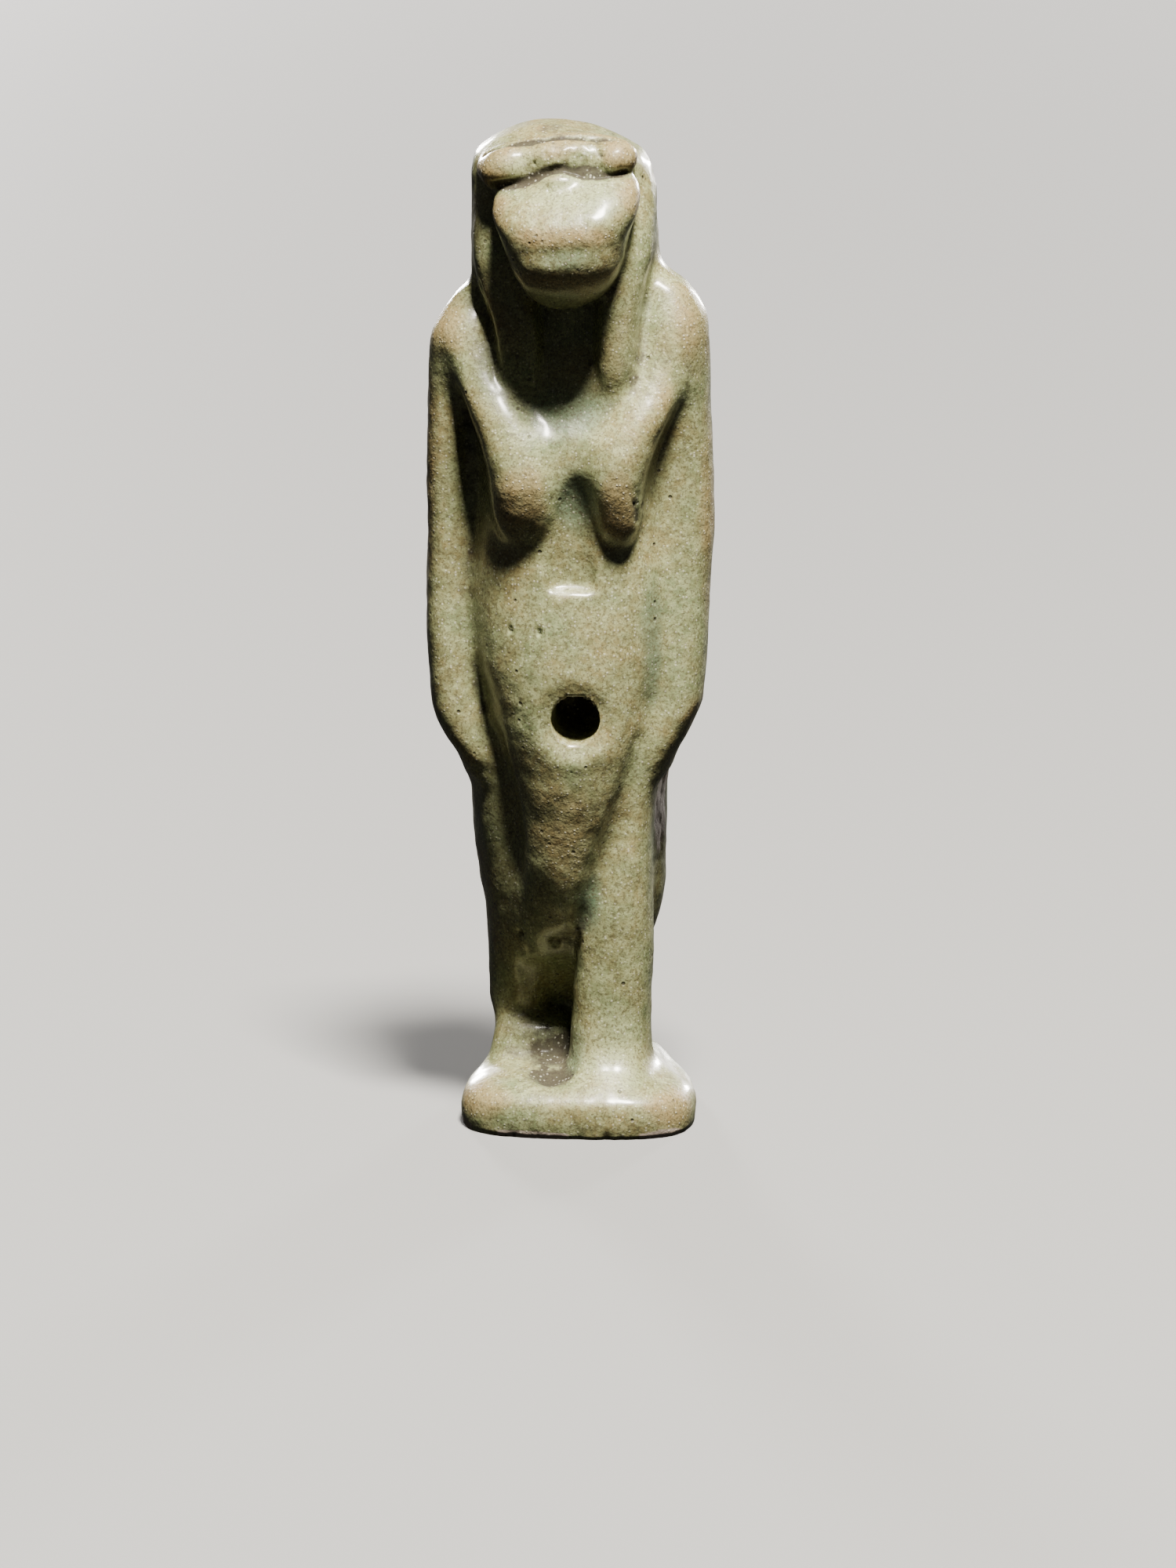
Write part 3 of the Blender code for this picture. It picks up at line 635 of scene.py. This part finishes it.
# soft round patches of each mask: middle, radii and, where it isn't 1, strength
PATCHES = {
    "tan": [
        ((-1.5, 0, 99.5), (9.5, 9, 4.5)), ((0.5, -14, 91), (7, 3, 1.5)), ((-6.5, -8, 93.6), (2.4, 3.5, 3.2)),
        ((7, -8, 94.6), (2.8, 3.5, 3.4)), ((0.6, -12.6, 86.4), (6.5, 4, 1.8)),
        ((5.6, -6, 97.5), (3.2, 3, 2.5)), ((-8, -4.5, 96.5), (2.4, 3, 2.5)), ((-12, -2, 79), (3, 5, 5)),
        ((12, -2, 79), (3.6, 5, 7)), ((9, -5, 76), (2.2, 4, 7)), ((-14.5, -1, 60), (1.6, 4, 26)),
        ((14.3, -1, 60), (1.6, 4, 26)), ((-3.6, -12, 64), (3.8, 3.5, 5.5)), ((5.4, -12, 63), (2.6, 3.5, 5)),
        ((-0.5, -11.5, 31), (5, 4, 6)), ((-8.5, -12, 3.4), (4.5, 5, 2.4)), ((11, -12, 2.5), (3, 5, 3)),
        ((13, -3, 40), (2.5, 4, 5)),
    ],
    "blue": [
        ((1, -6, 71.5), (5.5, 5, 5)), ((1.1, -9, 64), (2.6, 4, 4.5)), ((8.3, -6.5, 49), (1.6, 4, 8)),
        ((0.8, -13, 88.7), (4.6, 3, 1.6)), ((2.4, -9, 22.5), (2, 4, 4.5)), ((1.2, -9, 8), (1.6, 3, 5)),
    ],
    # reddish-brown deposit, and painted shade: the two patches on the rear foot's mound and the one on the
    # right lappet also darken where these lie in shade, and the one above the crease darkens that hollow
    "dirt_and_shade": [
        ((1.31, -11, 42), (2.9, 3, 2.9), 1), ((2, -8.2, 96.6), (3, 1.6, 0.9), 0.75),
        ((-1, -3, 99.8), (8.5, 5, 2.4), 0.4), ((4.5, -7, 98.4), (3.5, 2.5, 1.6), 0.4),
        ((-3.4, -11, 5.4), (4.2, 4.5, 2), 0.4), ((-1.3, -10.7, 5.3), (2.9, 2.7, 1.8), 1),
        ((-1.6, -6, 7), (3.2, 4.5, 4.4), 0.95), ((-5, -5, 7.6), (4, 4, 3), 0.42),
        ((7.6, -9, 62.5), (1.6, 4, 4), 0.6), ((5.2, -7.5, 80), (3.4, 4, 10), 0.34),
        ((11.5, -3.5, 78.5), (3.6, 4, 8), 0.3), ((5.3, -11, 60.5), (2.4, 3, 2.6), 0.36),
        ((0, -9, 22), (4.5, 5, 7), 0.34), ((1, -12, 29), (2.6, 3, 2.6), 0.4),
    ],
    "raw": [
        ((9.6, -1.5, 30.5), (1.6, 3.6, 7.5)), ((-3.2, -15.2, 0.2), (6, 1.6, 0.8)),
        ((9.5, -13, 0.3), (4, 3, 0.9)), ((-10.6, -12, 0.3), (2.5, 3, 0.9)),
    ],
    "pale": [
        ((-4.6, -7.6, 96.8), (2.6, 2, 1.6)), ((0.5, -10.5, 95), (4.5, 5, 2)), ((5, -11, 8), (4, 5, 5)),
    ],
    "spotted": [
        ((-1, -2, 99), (10, 8, 4.5)), ((5, -3.5, 82), (4, 5, 9)), ((9.5, -4, 77), (3, 5, 8)),
        ((0.5, -12, 87), (7, 5, 3.5)), ((5.6, -11.5, 61.5), (3, 4, 5)), ((-3.6, -11, 61), (4, 4, 4.5)),
        ((0.5, -11, 30), (6, 5, 7)), ((-3, -6, 14), (5, 6, 9)), ((0, -13, 2.5), (14, 6, 4)),
    ],
}
# width and strength of the deposit and painted shade along the first grooves
GROOVE_DIRT_AND_SHADE = [(0.7, 1.0), (0.7, 0.8), (0.3, 0.2)]


def spread(grid, cells):
    """The mean of a block of cells around each cell, from running sums along each axis."""
    for axis in range(3):
        line = np.moveaxis(grid, axis, 0)
        padded = np.concatenate((np.repeat(line[:1], cells + 1, 0), line, np.repeat(line[-1:], cells, 0)), 0)
        run = np.cumsum(padded, 0, dtype=np.float64)
        mean = (run[2 * cells + 1 :] - run[: -2 * cells - 1]) / (2 * cells + 1)
        grid = np.moveaxis(mean.astype(np.float32), 0, axis)
    return grid


def hollowness(clay, points, cells):
    """How much clay lies around each point: nought on a flat, up to 1 in a groove, down to -1 on an edge."""
    filled = np.clip(0.5 - clay.depth / clay.cell, 0, 1)
    around = clay.read(points, spread(spread(filled, cells), cells))
    return np.clip((around - 0.5) * 4, -1, 1)


def pool(points, middle, radii):
    """A soft round patch: 1 in the middle and nought past the radii."""
    return np.clip(1 - (((points - middle) / radii) ** 2).sum(-1), 0, 1) ** 0.8


def along(points, line):
    """The distance from each point to a line of straight pieces."""
    nearest = np.full(len(points), 99.0)
    for a, b in zip(line[:-1], line[1:]):
        run = b - a
        share = np.clip(((points - a) * run).sum(-1) / (run @ run), 0, 1)
        nearest = np.minimum(nearest, np.sqrt(((points - a - share[:, None] * run) ** 2).sum(-1)))
    return nearest


def tints(points, lines):
    """Masks of colour that the shape alone doesn't give: the strongest of their patches at each point. Deposit
    and painted shade also follow the first grooves, as a bell curve over the distance."""
    made = {name: np.zeros(len(points)) for name in PATCHES}
    for name, patches in PATCHES.items():
        for middle, radii, *strength in patches:
            made[name] = np.maximum(made[name], math.prod(strength) * pool(points, middle, radii))
    for line, (width, strength) in zip(lines, GROOVE_DIRT_AND_SHADE):
        made["dirt_and_shade"] = np.maximum(made["dirt_and_shade"], strength * np.exp(-((along(points, line) / width) ** 2)))
    return made


# Shader groups


def shader_group(name, inputs, outputs):
    """A node group that takes a vector and named values, and gives named values."""
    made = bpy.data.node_groups.new(name, "ShaderNodeTree")
    made.interface.new_socket("Vector", in_out="INPUT", socket_type="NodeSocketVector")
    for label, value in inputs.items():
        made.interface.new_socket(label, in_out="INPUT", socket_type="NodeSocketFloat").default_value = value
    for label in outputs:
        made.interface.new_socket(label, in_out="OUTPUT", socket_type="NodeSocketFloat")
    return made, Wiring(made)


class Wiring:
    """Adds nodes to a tree in a line or two each."""

    def __init__(self, tree):
        self.tree = tree
        self.given = None if tree.is_embedded_data else tree.nodes.new("NodeGroupInput")

    def node(self, kind, settings=None, **sockets):
        made = self.tree.nodes.new(kind)
        for key, value in (settings or {}).items():
            setattr(made, key, value)
        for key, value in sockets.items():
            self.feed(made.inputs[key.replace("_", " ")], value)
        return made

    def feed(self, socket, value):
        if isinstance(value, bpy.types.NodeSocket):
            self.tree.links.new(value, socket)
        else:
            socket.default_value = value

    def maths(self, operation, *values, clamp=False):
        made = self.tree.nodes.new("ShaderNodeMath")
        made.operation, made.use_clamp = operation, clamp
        for socket, value in zip(made.inputs, values):
            self.feed(socket, value)
        return made.outputs[0]

    def total(self, start, *parts):
        """A start and any number of values, each with its weight."""
        for value, weight in parts:
            start = self.maths("MULTIPLY_ADD", value, weight, start)
        return start

    def ramp(self, value, low, high):
        """A smooth step from nought at low to 1 at high."""
        made = self.node("ShaderNodeMapRange", {"interpolation_type": "SMOOTHSTEP"}, Value=value)
        self.feed(made.inputs["From Min"], low)
        self.feed(made.inputs["From Max"], high)
        return made.outputs[0]

    def blend(self, share, a, b):
        made = self.tree.nodes.new("ShaderNodeMix")
        made.data_type = "RGBA"
        for index, value in ((0, share), (6, a), (7, b)):
            self.feed(made.inputs[index], value)
        return made.outputs[2]

    def noise(self, where, scale, detail, rough):
        made = self.node("ShaderNodeTexNoise", Vector=where, Scale=scale, Detail=detail, Roughness=rough)
        return made.outputs[0]

    def cells(self, where, scale, channel):
        """Cells with a random value each, and the distance from their middles."""
        made = self.node("ShaderNodeTexVoronoi", Vector=where, Scale=scale)
        chance = self.node("ShaderNodeSeparateColor", Color=made.outputs["Color"]).outputs[channel]
        return chance, made.outputs["Distance"]

    def give(self, **values):
        last = self.tree.nodes.new("NodeGroupOutput")
        for key, value in values.items():
            self.feed(last.inputs[key.replace("_", " ")], value)


def grain_group():
    """Quartz grains painted pale as glints, dark pinholes and a soft ripple under the glaze."""
    given = {"Grain Size": 0.00016, "Wear": 0.0}
    made, w = shader_group("Glaze grain", given, ("Sparkle", "Pinholes", "Relief"))
    where, size, wear = list(w.given.outputs)[:3]
    scale = w.maths("DIVIDE", 1.0, size)
    chance, distance = w.cells(where, scale, 0)
    glint_speck = w.maths("MULTIPLY", w.ramp(chance, 0.66, 0.95), w.ramp(distance, 0.5, 0.1))
    chance, distance = w.cells(where, w.maths("MULTIPLY", scale, 0.24), 1)
    hole = w.maths("MULTIPLY", w.ramp(distance, 0.2, 0.06), w.ramp(chance, 0.78, 0.84))
    ripple = w.noise(where, w.maths("MULTIPLY", scale, 0.12), 4.0, 0.55)
    fine = w.noise(where, w.maths("MULTIPLY", scale, 0.7), 3.0, 0.6)
    rough = w.total(0.0, (ripple, 0.9), (fine, w.total(0.5, (wear, 0.4))))
    relief = w.total(rough, (glint_speck, w.total(0.14, (wear, 0.3))), (hole, -0.9))
    w.give(Sparkle=glint_speck, Pinholes=hole, Relief=relief)
    return made


def patch_group():
    """A mask made ragged: its edge wanders with a noise of the given size."""
    inputs = {"Mask": 0.0, "Size": 0.001, "Raggedness": 0.5, "Low": 0.3, "High": 0.7}
    made, w = shader_group("Ragged patch", inputs, ("Mask",))
    where, mask, size, ragged, low, high = list(w.given.outputs)[:6]
    cloud = w.noise(where, w.maths("DIVIDE", 1.0, size), 5.0, 0.62)
    wander = w.maths("MULTIPLY", w.maths("SUBTRACT", cloud, 0.5), w.maths("MULTIPLY", ragged, 2.0))
    w.give(Mask=w.ramp(w.maths("ADD", mask, wander), low, high))
    return made


def glazed_faience(colours, sizes):
    """Sage glaze on quartz paste: blue-green where it pooled, thin and tan on edges, deposit and painted shade
    in the grooves and hollows, quartz grains painted pale as glints.
    """
    made = bpy.data.materials.new("glazed_faience")
    made.use_nodes = True
    tree = made.node_tree
    shader = tree.nodes["Principled BSDF"]
    w = Wiring(tree)
    where = w.node("ShaderNodeTexCoord").outputs["Object"]

    def mask(name):
        return w.node("ShaderNodeAttribute", {"attribute_name": name}).outputs["Fac"]

    patch = patch_group()

    def ragged(value, size, raggedness, low, high):
        sockets = {"Mask": value, "Size": size, "Raggedness": raggedness, "Low": low, "High": high}
        return w.node("ShaderNodeGroup", {"node_tree": patch}, Vector=where, **sockets).outputs[0]

    near, wide, tan, pale = mask("hollow"), mask("hollow_wide"), mask("tan"), mask("pale")
    worn = ragged(w.total(0.0, (wide, -0.45), (near, -0.8), (tan, 0.5)), 0.0011, 0.3, 0.3, 0.95)
    pooled = ragged(w.total(0.0, (wide, 0.2), (near, 0.3), (mask("blue"), 0.8)), 0.0016, 0.2, 0.12, 0.95)
    # deposit, with painted shade in hollows, along the grooves and in sunk pits, all in the dark deposit
    # colour
    deposit_and_shade = w.total(mask("dirt_and_shade"), (near, 0.42), (mask("pitted"), 0.55), (wide, 0.15))
    stain_and_shade = ragged(deposit_and_shade, 0.0008, 0.75, 0.3, 0.9)
    spots = ragged(w.maths("MULTIPLY", mask("spotted"), 0.44), 0.0005, 0.8, 0.5, 0.72)
    chipped = ragged(mask("raw"), 0.0005, 0.35, 0.4, 0.6)
    settings = {"node_tree": grain_group()}
    specks = w.node("ShaderNodeGroup", settings, Vector=where, Grain_Size=sizes.grain_size, Wear=worn)
    glint_speck, holes, relief = specks.outputs
    mottle = w.ramp(w.noise(where, 2300.0, 6.0, 0.75), 0.4, 0.62)
    flecks = w.ramp(w.noise(where, 7200.0, 3.0, 0.7), 0.48, 0.62)

    cloud = w.ramp(w.noise(where, 330.0, 4.0, 0.6), 0.3, 0.7)
    colour = w.blend(cloud, (*colours.glaze, 1), (*colours.glaze_olive, 1))
    for share, strength, tint in (
        (mottle, 0.62, colours.glaze_pale),
        (pale, 0.6, colours.glaze_pale),
        (pooled, 0.6, colours.pooled),
        (worn, 0.62, colours.tan),
        (flecks, 0.72, colours.fleck),
        (spots, 0.75, colours.fleck),
        (stain_and_shade, 0.88, colours.dirt_and_shade),
        (chipped, 0.85, colours.paste),
        # quartz grains painted pale as glints
        (glint_speck, 0.55, colours.glint_grain),
        (holes, 0.75, colours.pinhole),
    ):
        colour = w.blend(w.maths("MULTIPLY", share, strength), colour, (*tint, 1))
    w.feed(shader.inputs["Base Color"], colour)

    rough = w.total(0.42, (mottle, 0.1), (worn, 0.1), (stain_and_shade, 0.45), (chipped, 0.2), (glint_speck, -0.12))
    w.feed(shader.inputs["Roughness"], rough)
    bump = w.node("ShaderNodeBump", Height=relief, Strength=0.85, Distance=0.00006)
    w.feed(shader.inputs["Normal"], bump.outputs[0])
    shader.inputs["Metallic"].default_value = 0.0
    shader.inputs["IOR"].default_value = 1.5
    shader.inputs["Coat Roughness"].default_value = 0.2
    gloss = w.maths("SUBTRACT", 0.7, w.maths("MULTIPLY", w.maths("MAXIMUM", stain_and_shade, chipped), 0.65))
    w.feed(shader.inputs["Coat Weight"], w.maths("MULTIPLY_ADD", worn, -0.3, gloss, clamp=True))
    return made


# The mesh


def placed(name, data):
    """A new object in the scene, at the origin."""
    made = bpy.data.objects.new(name, data)
    bpy.context.scene.collection.objects.link(made)
    return made


def put_in_mesh(name, verts, quads, triangles, masks, material):
    """A smooth-shaded mesh object at the origin, from whole arrays. Verts are in metres."""
    data = bpy.data.meshes.new(name)
    loops = np.concatenate((quads.ravel(), triangles.ravel())).astype(np.int32)
    sides = np.concatenate((np.full(len(quads), 4), np.full(len(triangles), 3)))
    starts = np.concatenate(([0], np.cumsum(sides)[:-1])).astype(np.int32)
    data.vertices.add(len(verts))
    data.loops.add(len(loops))
    data.polygons.add(len(sides))
    data.vertices.foreach_set("co", verts.astype(np.float32).ravel())
    data.loops.foreach_set("vertex_index", loops)
    data.polygons.foreach_set("loop_start", starts)
    data.polygons.foreach_set("use_smooth", np.ones(len(sides), bool))
    data.update(calc_edges=True)
    data.validate()
    for label, values in masks.items():
        data.attributes.new(label, "FLOAT", "POINT").data.foreach_set("value", values.astype(np.float32))
    data.materials.append(material)
    return placed(name, data)


# Settings, operators and panel


def length(name, description, default):
    return bpy.props.FloatProperty(name=name, description=description, default=default, unit="LENGTH")


def shade(name, description, default):
    return bpy.props.FloatVectorProperty(name=name, description=description, default=default, subtype="COLOR")


class FigureSizes(bpy.types.PropertyGroup):
    """Sizes of the figure's finish"""

    cell: length("Carving cell", "Size of the smallest form that is carved", 0.000125)
    grain_size: length("Grain size", "Size of the quartz grains", 0.00016)


class GlazeColours(bpy.types.PropertyGroup):
    """Colours of the glaze, of what has worn on it or lies on it as deposit, and of painted shade and glints
    """

    glaze: shade("Glaze", "Thin sage glaze", (0.19, 0.232, 0.105))
    glaze_olive: shade("Olive glaze", "Clouds in the glaze", (0.255, 0.21, 0.085))
    glaze_pale: shade("Pale glaze", "Milky glaze", (0.40, 0.43, 0.215))
    pooled: shade("Pooled glaze", "Thick blue-green glaze", (0.105, 0.185, 0.12))
    tan: shade("Tan", "Worn high places", (0.31, 0.195, 0.08))
    fleck: shade("Flecks", "Fine dark flecks in the glaze", (0.105, 0.09, 0.042))
    # the same dark colour also paints the shade in hollows, along grooves, in sunk pits and on the shaded
    # patches
    dirt_and_shade: shade("Dirt", "Reddish-brown deposit", (0.021, 0.012, 0.0075))
    paste: shade("Bare paste", "Chipped quartz paste", (0.42, 0.34, 0.28))
    # painted glints on the quartz grains
    glint_grain: shade("Grains", "Quartz grains that catch the light", (0.72, 0.70, 0.54))
    pinhole: shade("Pinholes", "Dark pinholes in the glaze", (0.06, 0.05, 0.035))
    floor: shade("Floor", "Pale studio floor", (0.27, 0.27, 0.266))


def fit_inside(verts, low, high):
    """Shrinks each direction from the origin by the hair's breadth that takes it inside the solid's box."""
    most, least = verts.max(0), verts.min(0)
    over = np.minimum(1, np.minimum(high / most, np.where(least < -1e-6, low / np.minimum(least, -1e-6), 1)))
    return verts * over


class FIGURE_OT_faience(bpy.types.Operator):
    """Builds the carved and glazed figure in place of its plain solid"""

    bl_idname = "figure.faience"
    bl_label = "Faience figure"

    def execute(self, context):
        sizes, colours = context.scene.figure_sizes, context.scene.glaze_colours
        share = (HIGH.z - LOW.z) / 100
        clay = model_clay(sizes.cell / share)
        smooth = skin(clay)
        plain, quads, triangles = close_up(smooth)
        masks = {"hollow": hollowness(clay, plain, 3), "hollow_wide": hollowness(clay, plain, 8)}
        masks.update(tints(plain, clay.lines))
        weathered, sunk = weather(smooth, clay)
        verts = close_up(drill(weathered))[0]
        # how deep each point sank, which darkens the glaze as deposit and painted shade in the pits
        masks["pitted"] = close_up(np.repeat(sunk[..., None], 3, -1))[0][:, 1]
        verts = fit_inside(verts * share, np.array(LOW), np.array(HIGH))
        if not np.isfinite(verts).all() or np.ptp(verts[:, 2]) < 0.9 * (HIGH.z - LOW.z):
            raise RuntimeError("the figure's skin didn't close round the clay")
        made = put_in_mesh("faience_figure", verts, quads, triangles, masks, glazed_faience(colours, sizes))
        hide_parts("taweret_figure")
        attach(made, "root")
        return {"FINISHED"}


def aimed(name, data, place, target):
    """A light or camera at a place, looking at a target."""
    made = placed(name, data)
    made.location = place
    made.rotation_euler = (Vector(target) - Vector(place)).to_track_quat("-Z", "Y").to_euler()
    return made


# name, width, power, azimuth and height in degrees, distance, tint
LIGHTS = [
    ("key_light", 0.11, 15.8, 27, 71, 0.55, (1.0, 0.95, 0.87)),
    ("left_edge_light", 0.06, 2.4, -160, 5, 0.5, (1.0, 0.97, 0.95)),
    ("right_edge_light", 0.06, 2.4, 160, 5, 0.5, (1.0, 0.97, 0.95)),
]
AIMED_AT = (0.0, 0.0, 0.028)
# the photograph: pixels in its height, metres to a pixel at the figure, and its middle in pixels right of and
# above the figure's origin
PHOTO_HEIGHT, PER_PIXEL, PHOTO_MIDDLE = 2000, 0.0000395, (20, 401)
CAMERA_DISTANCE, CAMERA_AZIMUTH, CAMERA_HEIGHT = 0.580, 5, 14
SENSOR_HEIGHT = 36
FLOOR_HALF, FLOOR_DROP, FLOOR_CELLS = 3.0, 0.00002, 8


def direction(azimuth, height):
    """The way from the figure to a place at an azimuth from its front and a height, both in degrees."""
    turn, rise = math.radians(azimuth), math.radians(height)
    return Vector((math.sin(turn) * math.cos(rise), -math.cos(turn) * math.cos(rise), math.sin(rise)))


class FIGURE_OT_studio(bpy.types.Operator):
    """Sets out the pale floor, the soft lights and the camera at the photograph's angle"""

    bl_idname = "figure.studio"
    bl_label = "Studio"

    def execute(self, context):
        scene = context.scene
        line = np.linspace(-FLOOR_HALF, FLOOR_HALF, FLOOR_CELLS + 1)
        x, y = np.meshgrid(line, line, indexing="ij")
        verts = np.stack((x, y, np.full_like(x, -FLOOR_DROP)), -1).reshape(-1, 3)
        row, col = np.meshgrid(np.arange(FLOOR_CELLS), np.arange(FLOOR_CELLS), indexing="ij")
        across = FLOOR_CELLS + 1
        a = (row * across + col).ravel()
        quads = np.stack((a, a + across, a + across + 1, a + 1), -1)
        material = bpy.data.materials.new("pale_floor")
        material.use_nodes = True
        shader = material.node_tree.nodes["Principled BSDF"]
        shader.inputs["Base Color"].default_value = (*scene.glaze_colours.floor, 1)
        shader.inputs["Roughness"].default_value = 0.75
        floor = put_in_mesh("studio_floor", verts, quads, np.zeros((0, 3), int), {}, material)
        floor.visible_diffuse = floor.visible_glossy = False

        world = bpy.data.worlds.new("studio_air")
        world.use_nodes = True
        air = world.node_tree.nodes["Background"]
        air.inputs["Color"].default_value = (1.0, 0.98, 0.95, 1)
        air.inputs["Strength"].default_value = 0.035
        scene.world = world

        middle = Vector(AIMED_AT)
        for name, width, power, azimuth, height, distance, tint in LIGHTS:
            light = bpy.data.lights.new(name, "AREA")
            light.shape, light.size, light.energy, light.color = "SQUARE", width, power, tint
            aimed(name, light, middle + direction(azimuth, height) * distance, middle)

        turn = math.radians(CAMERA_AZIMUTH)
        right = Vector((math.cos(turn), math.sin(turn), 0))
        back = direction(CAMERA_AZIMUTH, CAMERA_HEIGHT)
        target = right * PHOTO_MIDDLE[0] * PER_PIXEL + back.cross(right) * PHOTO_MIDDLE[1] * PER_PIXEL
        lens = bpy.data.cameras.new("photo_camera")
        lens.sensor_fit, lens.sensor_height = "VERTICAL", SENSOR_HEIGHT
        lens.lens = SENSOR_HEIGHT * CAMERA_DISTANCE / (PHOTO_HEIGHT * PER_PIXEL)
        lens.clip_start, lens.clip_end = 0.01, 20
        scene.camera = aimed("photo_camera", lens, target + back * CAMERA_DISTANCE, target)
        return {"FINISHED"}


class FIGURE_PT_panel(bpy.types.Panel):
    """Lists the steps that build the figure"""

    bl_label = "Faience figure"
    bl_space_type = "VIEW_3D"
    bl_region_type = "UI"
    bl_category = "Figure"

    def draw(self, context):
        for group in (context.scene.figure_sizes, context.scene.glaze_colours):
            for name in group.__annotations__:
                self.layout.prop(group, name)
        for step in STEPS:
            self.layout.operator(step.bl_idname)


STEPS = (FIGURE_OT_faience, FIGURE_OT_studio)
CLASSES = (FigureSizes, GlazeColours, *STEPS, FIGURE_PT_panel)


def register():
    for made in CLASSES:
        bpy.utils.register_class(made)
    bpy.types.Scene.figure_sizes = bpy.props.PointerProperty(type=FigureSizes)
    bpy.types.Scene.glaze_colours = bpy.props.PointerProperty(type=GlazeColours)


def unregister():
    del bpy.types.Scene.glaze_colours
    del bpy.types.Scene.figure_sizes
    for made in reversed(CLASSES):
        bpy.utils.unregister_class(made)


def main():
    register()
    bpy.ops.figure.faience()
    bpy.ops.figure.studio()


if __name__ == "__main__":
    main()
